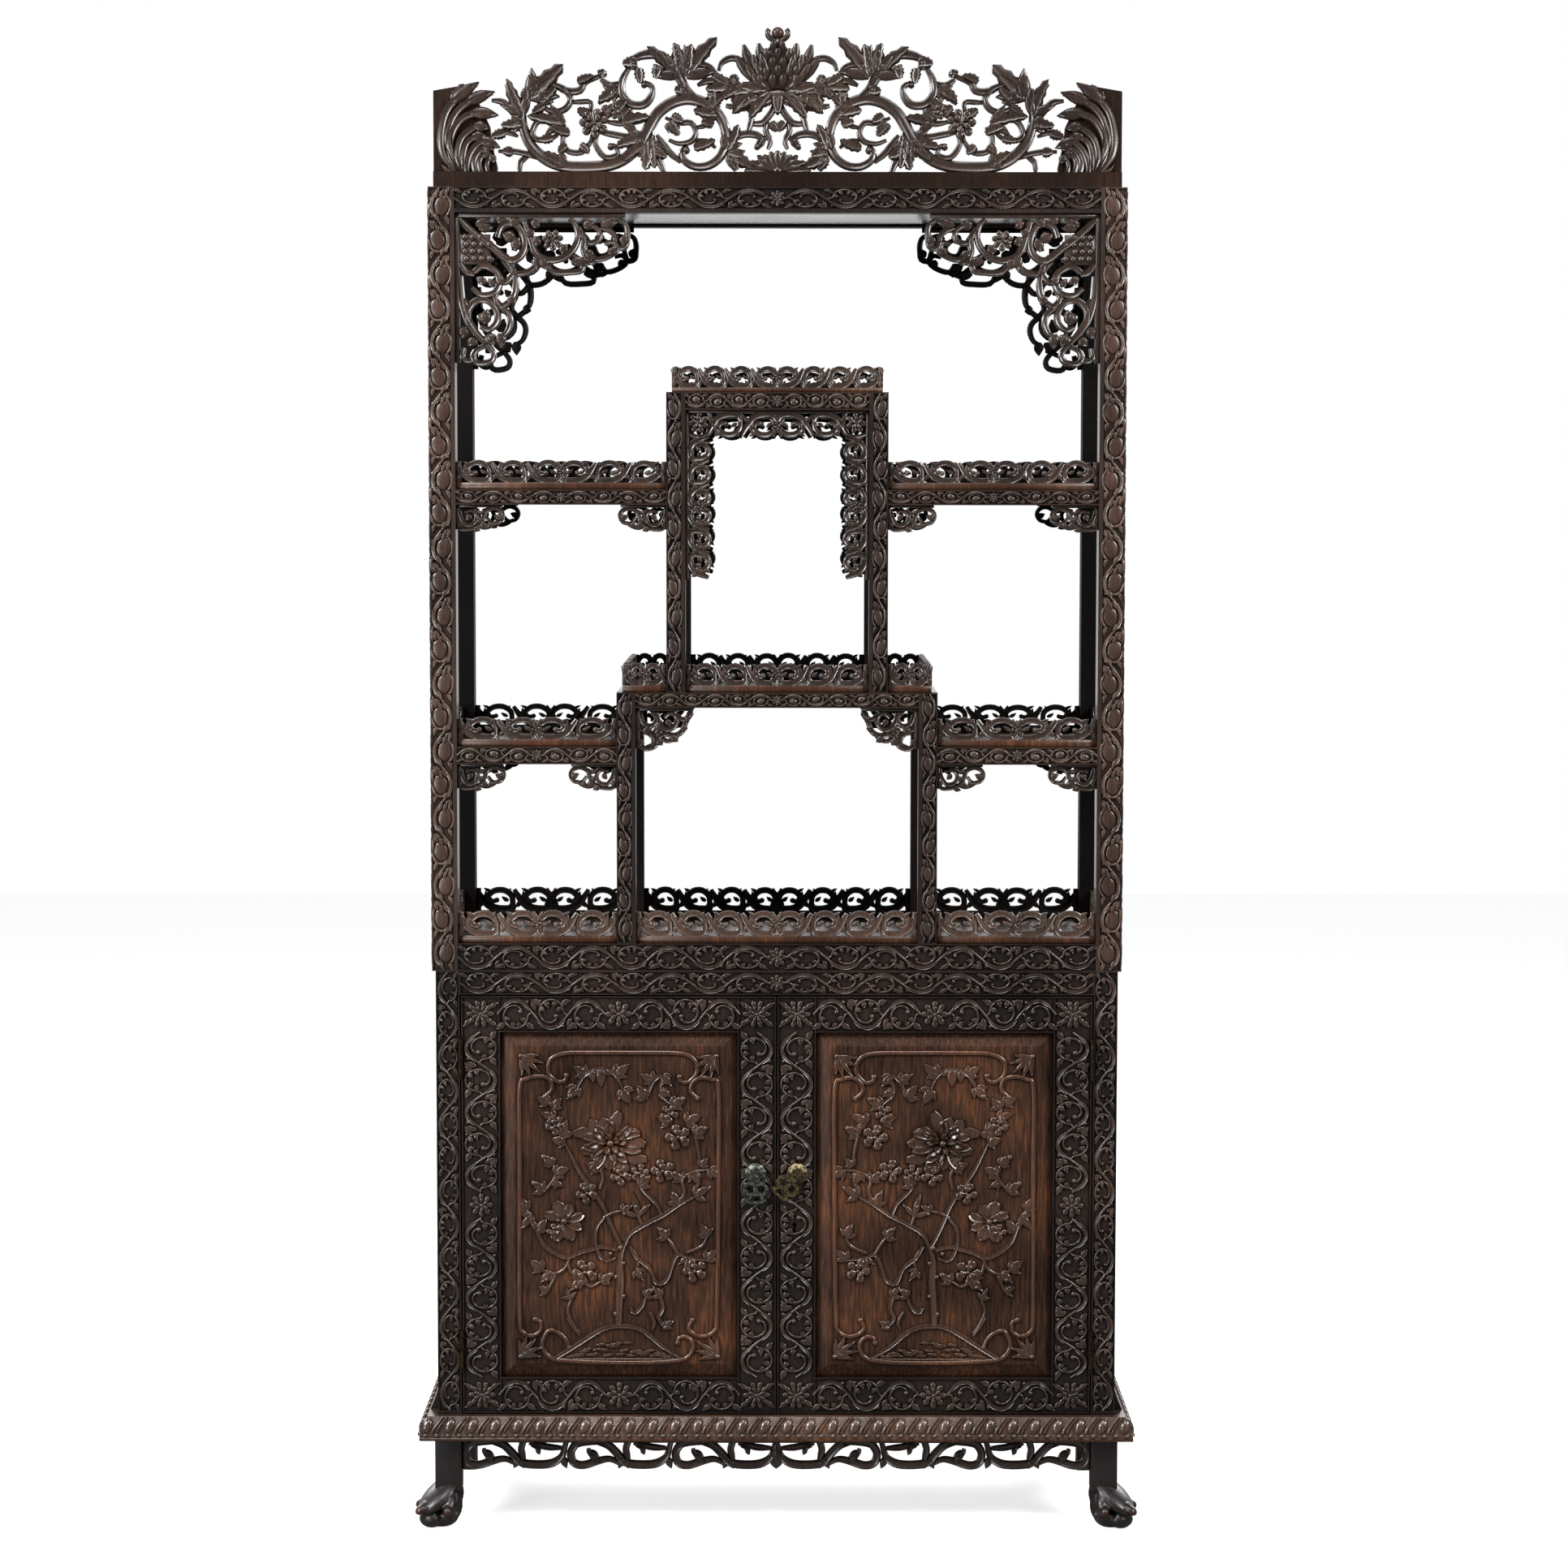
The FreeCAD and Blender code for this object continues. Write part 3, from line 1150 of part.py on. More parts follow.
NODES = [
    "front_left_leg", "front_right_leg", "rear_legs", "plinth", "front_apron", "side_aprons",
    "case_left_post", "case_right_post", "case_top_rail", "case_left_side", "case_right_side", "case_back",
    "case_top_board", "case_shelf",
    "left_door_hinge_stile", "left_door_lock_stile", "left_door_top_rail", "left_door_bottom_rail",
    "left_door_panel", "right_door_hinge_stile", "right_door_lock_stile", "right_door_top_rail",
    "right_door_bottom_rail", "right_door_panel",
    "hinge_case_leaves", "left_door_hinge_leaves", "right_door_hinge_leaves",
    "lock_case", "lock_bolt",
    "left_pull_boss", "left_pull_eye", "left_pull_drop", "right_pull_boss", "right_pull_eye",
    "right_pull_drop",
    "left_front_post", "right_front_post", "left_rear_post", "right_rear_post", "front_top_rail",
    "back_and_side_top_rails", "top_board", "front_bottom_rail", "floor_board",
    "lower_side_shelves", "middle_shelf", "upper_side_shelves", "tower_top",
    "lower_box_posts", "tower_posts",
    "floor_gallery", "lower_shelf_gallery", "middle_gallery", "upper_shelf_gallery", "tower_gallery",
    "corner_brackets", "shelf_brackets", "tower_frieze", "cresting", "cresting_rail",
]


def check_and_export():
    """Stop on anything that failed to build, then write one file for each piece."""
    doc.recompute()
    for item in doc.Objects:
        if "Invalid" in item.State or "Error" in item.State:
            raise RuntimeError(f"{item.Label} failed: {item.State}")
    os.makedirs("parts", exist_ok=True)
    for label in NODES:
        shape = doc.getObjectsByLabel(label)[0].Shape
        if shape.isNull() or not shape.isValid() or not shape.Solids:
            raise RuntimeError(f"{label} has no valid shape")
        shape.exportStep(f"parts/{label}.step")


build_all()
check_and_export()
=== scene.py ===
"""Looks of the carved book and display cabinet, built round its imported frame."""

import json
import math
import random

import bpy
import numpy as np
from bpy.props import FloatProperty, PointerProperty, StringProperty
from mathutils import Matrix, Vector


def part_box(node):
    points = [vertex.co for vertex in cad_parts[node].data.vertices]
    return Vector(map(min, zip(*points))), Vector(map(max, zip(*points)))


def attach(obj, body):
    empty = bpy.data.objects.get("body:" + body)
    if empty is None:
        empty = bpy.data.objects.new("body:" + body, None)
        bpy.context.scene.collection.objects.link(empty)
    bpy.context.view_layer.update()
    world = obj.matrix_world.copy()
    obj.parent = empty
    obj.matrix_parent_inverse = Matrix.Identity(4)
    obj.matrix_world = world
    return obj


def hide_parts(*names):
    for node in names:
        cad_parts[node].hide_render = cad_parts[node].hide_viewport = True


bl_info = {
    "name": "Carved book cabinet",
    "version": (1, 0, 0),
    "blender": (4, 5, 0),
    "location": "View3D > Sidebar > Cabinet",
    "description": "Carving, pierced work, paw feet and finishes of a carved hardwood book cabinet",
    "category": "Object",
}

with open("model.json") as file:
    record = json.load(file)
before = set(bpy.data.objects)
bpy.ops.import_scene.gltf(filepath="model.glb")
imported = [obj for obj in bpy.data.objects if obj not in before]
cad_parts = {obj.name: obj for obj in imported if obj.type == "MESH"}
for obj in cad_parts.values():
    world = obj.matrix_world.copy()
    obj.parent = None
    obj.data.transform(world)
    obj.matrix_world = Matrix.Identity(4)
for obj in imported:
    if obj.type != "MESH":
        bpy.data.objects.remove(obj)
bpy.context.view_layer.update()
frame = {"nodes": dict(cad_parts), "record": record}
MM = 0.001
PHOTO_PIXELS = 1932
FOCAL_PIXELS = 4780
NODES = frame["nodes"]


# Sizes and colours that a user would change


class CabinetCarving(bpy.types.PropertyGroup):
    """How deep and how close the carving is cut."""

    relief: FloatProperty(name="Relief", default=0.0038, unit="LENGTH",
                          description="How far the carved vines rise from their ground")
    panel_relief: FloatProperty(name="Panel relief", default=0.0038, unit="LENGTH",
                                description="How far the trees rise from the door panels")
    post_wave: FloatProperty(name="Post wave", default=0.049, unit="LENGTH",
                             description="Length of one bay of the vine on the posts")
    rail_wave: FloatProperty(name="Rail wave", default=0.053, unit="LENGTH",
                             description="Length of one bay of the vine on the rails")
    shelf_wave: FloatProperty(name="Shelf wave", default=0.034, unit="LENGTH",
                              description="Length of one bay of the vine on shelf edges")
    gadroon_pitch: FloatProperty(name="Gadroon pitch", default=0.0325, unit="LENGTH",
                                 description="From one gadroon of the plinth to the next")


class CabinetColours(bpy.types.PropertyGroup):
    """Colours of the finishes, as hex values."""

    wood_ground: StringProperty(name="Carved ground", description="Dark wood in the depth of the carving",
                                default="#1c1411")
    wood_crest: StringProperty(name="Carved crests", description="Wood rubbed bright on the carving",
                               default="#352720")
    panel_dark: StringProperty(name="Panel, dark", description="Dark streaks of the door panels",
                               default="#190c07")
    panel_light: StringProperty(name="Panel, light", description="Light streaks of the door panels",
                                default="#714429")
    strip: StringProperty(name="Plain strips", description="Plain polished strips and shelf faces",
                          default="#422717")
    dark_bronze: StringProperty(name="Dark bronze", description="Patina of the left pull", default="#353934")
    worn_bronze: StringProperty(name="Worn bronze", description="Rubbed metal of the right pull",
                                default="#857550")
    brass: StringProperty(name="Brass", description="Hinges and lock", default="#4d4029")
    floor: StringProperty(name="Floor", description="Pale studio floor", default="#f4f4f2")


# Finishes


def linear(hex_colour):
    """The linear colour of an sRGB hex value."""
    values = [int(hex_colour[start:start + 2], 16) / 255 for start in (1, 3, 5)]
    bent = [v / 12.92 if v <= 0.04045 else ((v + 0.055) / 1.055) ** 2.4 for v in values]
    return (*bent, 1.0)


def add_node(tree, kind, inputs=None, **settings):
    """One node, with its settings and with its inputs linked or filled."""
    node = tree.nodes.new(kind)
    for name, value in settings.items():
        setattr(node, name, value)
    for name, value in (inputs or {}).items():
        socket = node.inputs[name]
        if isinstance(value, bpy.types.NodeSocket):
            tree.links.new(value, socket)
        else:
            socket.default_value = value
    return node


def new_finish(name):
    """An empty material and its tree and shader."""
    material = bpy.data.materials.new(name)
    material.use_nodes = True
    tree = material.node_tree
    return material, tree, tree.nodes["Principled BSDF"]


def ramp(tree, factor, stops):
    """Colour stops along a factor."""
    node = add_node(tree, "ShaderNodeValToRGB", {"Fac": factor})
    edges = node.color_ramp.elements
    while len(edges) < len(stops):
        edges.new(0.5)
    for edge, (place, colour) in zip(edges, stops):
        edge.position = place
        edge.color = linear(colour)
    return node.outputs["Color"]


# How far from an edge the painted shade reaches into a hollow, in metres
SHADE_REACH = 0.004


def wood_finish(name, dark, middle, light, streaks, rough, coat, hollow=0.5, gloss=0.5):
    """Dark rosewood, oiled and rubbed, with painted shade in its hollows: there it is darker and has less
    gloss and coat, so that its open crests shine more.
    Its grain runs up the piece in streaks, so many millimetres wide and eleven times as long, in clouds
    about 140 mm wide, with pores about 1 mm apart. Hollow is how much of their light the hollows lose."""
    material, tree, shader = new_finish(name)
    place = add_node(tree, "ShaderNodeTexCoord").outputs["Object"]
    stretched = add_node(tree, "ShaderNodeMapping", {"Vector": place, "Scale": (1.0, 1.0, 0.09)})
    grain = add_node(tree, "ShaderNodeTexNoise", {"Vector": stretched.outputs["Vector"],
                                                  "Scale": 1000 / streaks, "Detail": 5.0, "Roughness": 0.62})
    cloud = add_node(tree, "ShaderNodeTexNoise", {"Vector": place, "Scale": 7.0, "Detail": 3.0})
    blend = add_node(tree, "ShaderNodeMath", {0: grain.outputs["Fac"], 1: 0.55}, operation="MULTIPLY")
    blend = add_node(tree, "ShaderNodeMath", {0: cloud.outputs["Fac"], 1: 0.45, 2: blend.outputs[0]},
                     operation="MULTIPLY_ADD")
    colour = ramp(tree, blend.outputs[0], [(0.36, dark), (0.52, middle), (0.68, light)])
    # Painted shade: ambient occlusion darkens the colour towards near black in hollows, creases and between
    # parts, and takes gloss and coat away there
    open_air = add_node(tree, "ShaderNodeAmbientOcclusion", {"Distance": SHADE_REACH}, samples=4)
    unshaded = add_node(tree, "ShaderNodeMapRange", {"Value": open_air.outputs["AO"], "From Min": 0.35,
                                                  "From Max": 0.95, "To Min": 1 - hollow, "To Max": 1.0})
    toned = add_node(tree, "ShaderNodeMix", {"Factor": unshaded.outputs["Result"], "A": linear("#070504"),
                                             "B": colour}, data_type="RGBA")
    tree.links.new(toned.outputs["Result"], shader.inputs["Base Color"])
    shine = add_node(tree, "ShaderNodeMath", {0: unshaded.outputs["Result"], 1: gloss}, operation="MULTIPLY")
    tree.links.new(shine.outputs[0], shader.inputs["Specular IOR Level"])
    lacquer = add_node(tree, "ShaderNodeMath", {0: unshaded.outputs["Result"], 1: coat}, operation="MULTIPLY")
    tree.links.new(lacquer.outputs[0], shader.inputs["Coat Weight"])
    fine = add_node(tree, "ShaderNodeTexNoise", {"Vector": place, "Scale": 900.0, "Detail": 2.0})
    sheen = add_node(tree, "ShaderNodeMapRange", {"Value": cloud.outputs["Fac"], "To Min": rough - 0.08,
                                                  "To Max": rough + 0.12})
    tree.links.new(sheen.outputs["Result"], shader.inputs["Roughness"])
    pores = add_node(tree, "ShaderNodeMath", {0: grain.outputs["Fac"], 1: fine.outputs["Fac"]})
    bump = add_node(tree, "ShaderNodeBump", {"Height": pores.outputs[0], "Strength": 0.25,
                                             "Distance": 0.0006})
    tree.links.new(bump.outputs["Normal"], shader.inputs["Normal"])
    shader.inputs["IOR"].default_value = 1.5
    shader.inputs["Coat Roughness"].default_value = 0.2
    return material


def metal_finish(name, worn, patina, share, rough):
    """Cast bronze or brass with a patina in patches laid by a noise, and rubbed bright metal between them."""
    material, tree, shader = new_finish(name)
    place = add_node(tree, "ShaderNodeTexCoord").outputs["Object"]
    cloud = add_node(tree, "ShaderNodeTexNoise", {"Vector": place, "Scale": 260.0, "Detail": 4.0})
    low = max(0.0, share - 0.12)
    colour = ramp(tree, cloud.outputs["Fac"], [(low, patina), (min(1.0, share + 0.12), worn)])
    tree.links.new(colour, shader.inputs["Base Color"])
    shader.inputs["Metallic"].default_value = 0.85
    dull = add_node(tree, "ShaderNodeMapRange", {"Value": cloud.outputs["Fac"], "To Min": rough + 0.15,
                                                 "To Max": rough - 0.1})
    tree.links.new(dull.outputs["Result"], shader.inputs["Roughness"])
    pits = add_node(tree, "ShaderNodeBump", {"Height": cloud.outputs["Fac"], "Strength": 0.3,
                                             "Distance": 0.0004})
    tree.links.new(pits.outputs["Normal"], shader.inputs["Normal"])
    return material


FINISHES = {}


class CABINET_OT_finishes(bpy.types.Operator):
    """Mix the finishes and lay them on the pieces that the frame brings."""

    bl_idname = "cabinet.finishes"
    bl_label = "Finishes"

    def execute(self, context):
        tone = context.scene.cabinet_colours
        # Each wood: name, three tones, width of its streaks in mm, roughness and coat, and then, where they
        # aren't a half, the light that its hollows lose and its gloss
        woods = {
            # Carving in the open, dark, with a soft shine on its crests
            "carved_wood": ("carved_rosewood", tone.wood_ground, tone.wood_crest, "#4d3a30", 2.4, 0.3, 0.5),
            # Plain faces and sunk grounds, nearly black and dull
            "frame_wood": ("oiled_rosewood", "#0f0a08", "#1d1411", "#33231b", 2.4, 0.4, 0.1, 0.85, 0.35),
            # Door panels, with red-brown streaks
            "polished_wood": ("polished_rosewood", tone.panel_dark, "#3f291d", tone.panel_light, 3.2, 0.42,
                              0.03, 0.8, 0.2),
            # Front corner posts and their carving, paler and greyer than the rest: partly wear by hands,
            # partly painted sheen for the glare of the lights on them; and the bulbs of that carving
            "post_wood": ("oiled_rosewood_post", "#1f1512", "#31241e", "#453329", 2.4, 0.34, 0.3, 0.7, 0.45),
            "post_carving": ("rubbed_and_glare_rosewood_post", "#34261f", "#503d33", "#654e40", 2.4, 0.3, 0.4),
            "bulb_wood": ("rubbed_rosewood_bulb", "#2a1c16", "#402d25", "#573f33", 2.4, 0.32, 0.35, 0.6),
            # Carving on the shelf edges, a little rubbed
            "edge_carving": ("rubbed_rosewood_edge", "#291e1a", "#41332c", "#574439", 2.4, 0.32, 0.35),
            # Plain rail under the cresting, dark red-brown and dull
            "rail_wood": ("plain_rosewood_rail", "#120a06", "#1f110a", "#342015", 3.0, 0.4, 0.05, 0.6, 0.2),
            # Raised lines round the panels, rubbed to a warm shine
            "mould_wood": ("rubbed_rosewood_mould", "#341c10", "#50301c", "#7a4c2c", 3.0, 0.26, 0.7),
            # Rear pieces, black and dull: painted shade for the shadow they stand in
            "shade_wood": ("painted_shade_rosewood", "#060403", "#0c0806", "#150e0b", 2.4, 0.55, 0.0, 0.8, 0.1),
            # Shelves and boards, waxed, with a long shine
            "shelf_wood": ("waxed_rosewood_shelf", "#201610", "#33241c", "#49352a", 3.0, 0.24, 0.6, 0.7),
            # Gadroons of the plinth, the palest and shiniest of the wood
            "gadroon_wood": ("rubbed_rosewood_gadroons", "#382820", "#523e34", "#725646", 3.0, 0.2, 0.9),
            # Trees on the panels, paler than their ground, with bright edges
            "relief_wood": ("carved_panel_rosewood", "#2c1b12", "#452c1e", "#6a452e", 3.0, 0.22, 0.9),
            # Plain strips, rubbed brown
            "strip_wood": ("rubbed_rosewood_strip", "#2a1910", tone.strip, "#72482c", 3.0, 0.34, 0.2, 0.5,
                           0.4),
            # Front legs and paws, dark, with a slight shine
            "leg_wood": ("oiled_rosewood_leg", "#120c0a", "#1d1412", "#2b1e1a", 2.6, 0.36, 0.25, 0.4),
        }
        for wood, values in woods.items():
            FINISHES[wood] = wood_finish(*values)
        # Each metal: name, rubbed tone, tone of its patina, share of patina and roughness
        metals = {
            "dark_bronze": ("cast_bronze_dark", "#8a8d84", tone.dark_bronze, 0.58, 0.46),
            "worn_bronze": ("cast_bronze_worn", tone.worn_bronze, "#3a372b", 0.52, 0.36),
            "brass": ("aged_brass", tone.brass, "#1f1a12", 0.6, 0.45),
        }
        for metal, values in metals.items():
            FINISHES[metal] = metal_finish(*values)
        by_slot = {"carved_wood": "frame_wood", "brass_hardware": "brass"}
        # The rear posts take the black wood of painted shade
        by_piece = {"plinth": "gadroon_wood", "cresting_rail": "rail_wood",
                    "left_front_post": "post_wood", "right_front_post": "post_wood",
                    "left_rear_post": "shade_wood", "right_rear_post": "shade_wood"}
        for shelf in ("middle_shelf", "upper_side_shelves", "lower_side_shelves", "tower_top", "floor_board",
                      "top_board", "case_top_board", "case_shelf"):
            by_piece[shelf] = "shelf_wood"
        for piece in frame["record"]["subparts"]:
            slot = piece["material_slot"]
            data = NODES[piece["node"]].data
            data.materials.clear()
            data.materials.append(FINISHES[by_piece.get(piece["node"], by_slot.get(slot, slot))])
        return {"FINISHED"}


# Carver's tools: everything is drawn in millimetres on a face and then cut as one piece


class Face:
    """A face to carve on: a corner, the way along it, the way up it and the way out of it."""

    def __init__(self, origin, along, up, out):
        self.origin = np.array(origin, float)
        self.along = np.array(along, float)
        self.up = np.array(up, float)
        self.out = np.array(out, float)

    def shifted(self, along, up=0.0, out=0.0):
        origin = self.origin + along * self.along + up * self.up + out * self.out
        return Face(origin, self.along, self.up, self.out)

    def mirrored(self):
        return Face(self.origin, -self.along, self.up, self.out)


RIGHT = (1, 0, 0)
LEFT = (-1, 0, 0)
AWAY = (0, 1, 0)
FORWARD = (0, -1, 0)
UP = (0, 0, 1)
DOWN = (0, 0, -1)


def sideways(hand):
    """To the right for a hand above 0, else to the left."""
    return RIGHT if hand > 0 else LEFT


def heading(angle, squash=1.0):
    """The direction on a face at an angle from the way along it."""
    return np.array([math.cos(angle), squash * math.sin(angle)])


def smooth_line(points, steps):
    """A smooth line through drawn points."""
    points = np.array(points, float)
    if len(points) < 3:
        share = np.linspace(0, 1, steps + 1)[:, None]
        return points[0] * (1 - share) + points[-1] * share
    ends = np.vstack([2 * points[0] - points[1], points, 2 * points[-1] - points[-2]])
    line = []
    for a, b, c, d in zip(ends[:-3], ends[1:-2], ends[2:-1], ends[3:]):
        for t in np.arange(steps) / steps:
            line.append(0.5 * (2 * b + (c - a) * t + (2 * a - 5 * b + 4 * c - d) * t * t
                               + (3 * b - a - 3 * c + d) * t ** 3))
    line.append(points[-1])
    return np.array(line)


def swung(way, degrees):
    """A direction on a face, swung round by some degrees."""
    angle = math.radians(degrees)
    return np.array([way[0] * math.cos(angle) - way[1] * math.sin(angle),
                     way[0] * math.sin(angle) + way[1] * math.cos(angle)])


def deselect():
    """Nothing is selected, so that an operator acts on the next piece alone."""
    if bpy.context.object and bpy.context.object.mode != "OBJECT":
        bpy.ops.object.mode_set(mode="OBJECT")
    bpy.ops.object.select_all(action="DESELECT")


def choose(test):
    """Select the open piece's points that pass a test."""
    bpy.ops.object.mode_set(mode="OBJECT")
    mesh = bpy.context.object.data
    mesh.polygons.foreach_set("select", [False] * len(mesh.polygons))
    mesh.edges.foreach_set("select", [False] * len(mesh.edges))
    mesh.vertices.foreach_set("select", [bool(test(point.co)) for point in mesh.vertices])
    bpy.ops.object.mode_set(mode="EDIT")
    bpy.ops.mesh.select_mode(type="VERT")


def take_blank():
    """The points and faces of the blank just made, which is then cleared away."""
    bpy.ops.object.mode_set(mode="OBJECT")
    piece = bpy.context.object
    points = np.array([point.co[:] for point in piece.data.vertices])
    # Operators hand the faces back in another order each time, so they are sorted by their corners
    faces = sorted((tuple(face.vertices) for face in piece.data.polygons), key=sorted)
    bpy.data.objects.remove(piece)
    return points, faces


def leaf_blank(widths, groove):
    """A leaf one unit long and two wide: two plump halves with a shallow groove between them."""
    deselect()
    rows = len(widths) - 1
    bpy.ops.mesh.primitive_grid_add(x_subdivisions=4, y_subdivisions=rows, size=1, location=(0, 0.5, 0))
    bpy.ops.object.transform_apply(location=True)
    bpy.ops.object.mode_set(mode="EDIT")
    choose(lambda co: abs(abs(co.x) - 0.25) < 0.01)
    bpy.ops.transform.translate(value=(0, 0, 1.0))
    choose(lambda co: abs(abs(co.x) - 0.25) < 0.01)
    bpy.ops.transform.resize(value=(1.15, 1, 1), center_override=(0, 0, 0))
    choose(lambda co: abs(co.x) < 0.01)
    bpy.ops.transform.translate(value=(0, 0, groove))
    choose(lambda co: abs(abs(co.x) - 0.5) < 0.01)
    bpy.ops.transform.translate(value=(0, 0, 0.4))
    for row, width in enumerate(widths):
        level = row / rows
        choose(lambda co: abs(co.y - level) < 0.01)
        bpy.ops.transform.resize(value=(2 * width, 1, 0.55 + 0.45 * width), center_override=(0, level, 0))
    bpy.ops.mesh.select_all(action="SELECT")
    bpy.ops.mesh.extrude_region_move()
    bpy.ops.transform.resize(value=(0.94, 1, 0), center_override=(0, 0, 0))
    bpy.ops.mesh.select_all(action="SELECT")
    bpy.ops.mesh.normals_make_consistent(inside=False)
    return take_blank()


def drop_blank(sides, rings):
    """Half of a ball, flat below: the blank for berries, beads and lobes."""
    deselect()
    bpy.ops.mesh.primitive_uv_sphere_add(segments=sides, ring_count=2 * rings, radius=1)
    bpy.ops.object.mode_set(mode="EDIT")
    bpy.ops.mesh.select_all(action="SELECT")
    bpy.ops.mesh.bisect(plane_co=(0, 0, 0.001), plane_no=(0, 0, 1), use_fill=True, clear_inner=True)
    return take_blank()


BLANKS = {}


def cut_blanks():
    """The few shapes that the carver repeats."""
    BLANKS["leaf"] = leaf_blank([0.4, 0.84, 1.0, 0.86, 0.5, 0.08], 0.66)
    BLANKS["petal"] = leaf_blank([0.3, 0.45, 0.68, 0.92, 1.0, 0.84, 0.36], 1.02)
    BLANKS["cupped"] = leaf_blank([0.35, 0.7, 0.92, 1.0, 0.86, 0.5], 0.3)
    BLANKS["acanthus"] = leaf_blank([0.4, 0.86, 0.74, 1.0, 0.76, 0.88, 0.56, 0.6, 0.08], 0.6)
    BLANKS["berry"] = drop_blank(8, 3)
    points, faces = drop_blank(14, 4)
    points[:, 2] = points[:, 2] ** 0.8
    BLANKS["boss"] = points, faces


class Carving:
    """Carved work gathered until it becomes one piece."""

    def __init__(self, seed=1):
        self.points = []
        self.faces = []
        self.tones = []
        self.count = 0
        # When set, this tone takes over every shape added: the rear pieces get the black wood of painted
        # shade
        self.shade = 0
        self.chance = random.Random(seed)

    def add(self, face, local, faces, tone=0):
        """Put a shape drawn on a face, as points (along, up, out), into the piece."""
        placed = (face.origin + local[:, 0:1] * face.along + local[:, 1:2] * face.up
                  + local[:, 2:3] * face.out)
        self.points.append(placed * MM)
        self.faces += [tuple(corner + self.count for corner in ring) for ring in faces]
        self.tones += [self.shade or tone] * len(faces)
        self.count += len(placed)

    def stem(self, face, points, half, rise, depth=0.8, tips=(0.6, 0.35), steps=3, tone=0, both=False,
             plain=False):
        """A rounded ribbon along a line, thinner at its tips; a wide one that isn't plain has a groove. With
        both, its back is rounded too."""
        line = smooth_line(points, steps)
        step = np.gradient(line, axis=0)
        step /= np.maximum(np.linalg.norm(step, axis=1), 1e-6)[:, None]
        side = np.stack([-step[:, 1], step[:, 0]], axis=1)
        reach = np.concatenate([[0], np.cumsum(np.linalg.norm(np.diff(line, axis=0), axis=1))])
        reach /= reach[-1]
        near = tips[0] + (1 - tips[0]) * np.minimum(1, reach / 0.25)
        far = tips[1] + (1 - tips[1]) * np.minimum(1, (1 - reach) / 0.3)
        size = np.minimum(near, far)
        if half > 2.9 and not plain:
            section = [(-1, 0.3), (-0.74, 0.95), (-0.38, 0.68), (0.15, 0.72), (0.62, 1.0), (1, 0.3)]
        else:
            section = [(-1, 0.25), (-0.68, 0.82), (0, 1.0), (0.68, 0.82), (1, 0.25)]
        if both:
            section += [(x, -z) for x, z in reversed(section)]
        else:
            section += [(0.95, None), (-0.95, None)]
        around = len(section)
        local = np.zeros((len(line), around, 3))
        for index, (across, up) in enumerate(section):
            local[:, index, :2] = line + side * (across * half * size)[:, None]
            if up is None:
                local[:, index, 2] = -depth
            elif up < 0:
                local[:, index, 2] = up * depth * (0.5 + 0.5 * size)
            else:
                local[:, index, 2] = up * rise * (0.5 + 0.5 * size)
        faces = []
        for row in range(len(line) - 1):
            for index in range(around):
                after = (index + 1) % around
                faces.append((row * around + index, row * around + after, (row + 1) * around + after,
                              (row + 1) * around + index))
        faces.append(tuple(reversed(range(around))))
        faces.append(tuple(range((len(line) - 1) * around, len(line) * around)))
        self.add(face, local.reshape(-1, 3), faces, tone)

    def leaf(self, face, start, tip, half, rise, depth=0.8, bend=0.0, blank="leaf", lift=0.0):
        """A leaf or petal from its stalk to its tip, bent sideways by some degrees."""
        points, faces = BLANKS[blank]
        start = np.array(start, float)
        reach = np.array(tip, float) - start
        length = math.hypot(*reach)
        turn = math.atan2(reach[1], reach[0]) - math.radians(bend) / 2
        angle = math.radians(bend) * points[:, 1]
        if abs(bend) > 1:
            radius = length / (2 * math.sin(math.radians(abs(bend)) / 2))
            radius = math.copysign(radius, bend)
            along = radius * np.sin(angle)
            aside = radius * (1 - np.cos(angle))
        else:
            along = points[:, 1] * length
            aside = np.zeros(len(points))
        across = points[:, 0] * half
        along = along - across * np.sin(angle)
        aside = aside + across * np.cos(angle)
        high = points[:, 2]
        crown = rise - (1 - high) * min(rise, 0.62 * half)
        out = np.where(high < 0.02, -depth, crown + lift * (points[:, 1] - 0.5))
        local = np.stack([start[0] + along * math.cos(turn) - aside * math.sin(turn),
                          start[1] + along * math.sin(turn) + aside * math.cos(turn), out], axis=1)
        self.add(face, local, faces)

    def berry(self, face, middle, radius, rise, depth=0.6, stretch=1.0, turn=0.0, tone=0, level=0.0,
              blank="berry"):
        """A bead, berry or lobe, longer than wide by a stretch."""
        points, faces = BLANKS[blank]
        angle = math.radians(turn)
        along = points[:, 0] * radius
        up = points[:, 1] * radius * stretch
        out = level + np.where(points[:, 2] < 0.02, -depth, points[:, 2] * rise)
        local = np.stack([middle[0] + along * math.cos(angle) - up * math.sin(angle),
                          middle[1] + along * math.sin(angle) + up * math.cos(angle), out], axis=1)
        self.add(face, local, faces, tone)

    def flower(self, face, middle, radius, rise, petals=8, turn=0.0, depth=0.8):
        """A full-blown flower: two rings of petals round a bud."""
        for ring, (inner, outer, half, lift, count) in enumerate(
                ((0.22, 1.0, 2.05, 0.0, petals), (0.1, 0.62, 1.8, 0.35, petals - 2))):
            for index in range(count):
                way = heading(math.radians(turn) + 2 * math.pi * (index + 0.5 * ring) / count)
                self.leaf(face, middle + way * inner * radius, middle + way * outer * radius,
                          half * radius * outer / count, rise * (0.85 + lift), depth,
                          bend=self.chance.uniform(-14, 14), blank="petal", lift=rise * 0.15)
        self.berry(face, middle, 0.2 * radius, rise * 1.35)

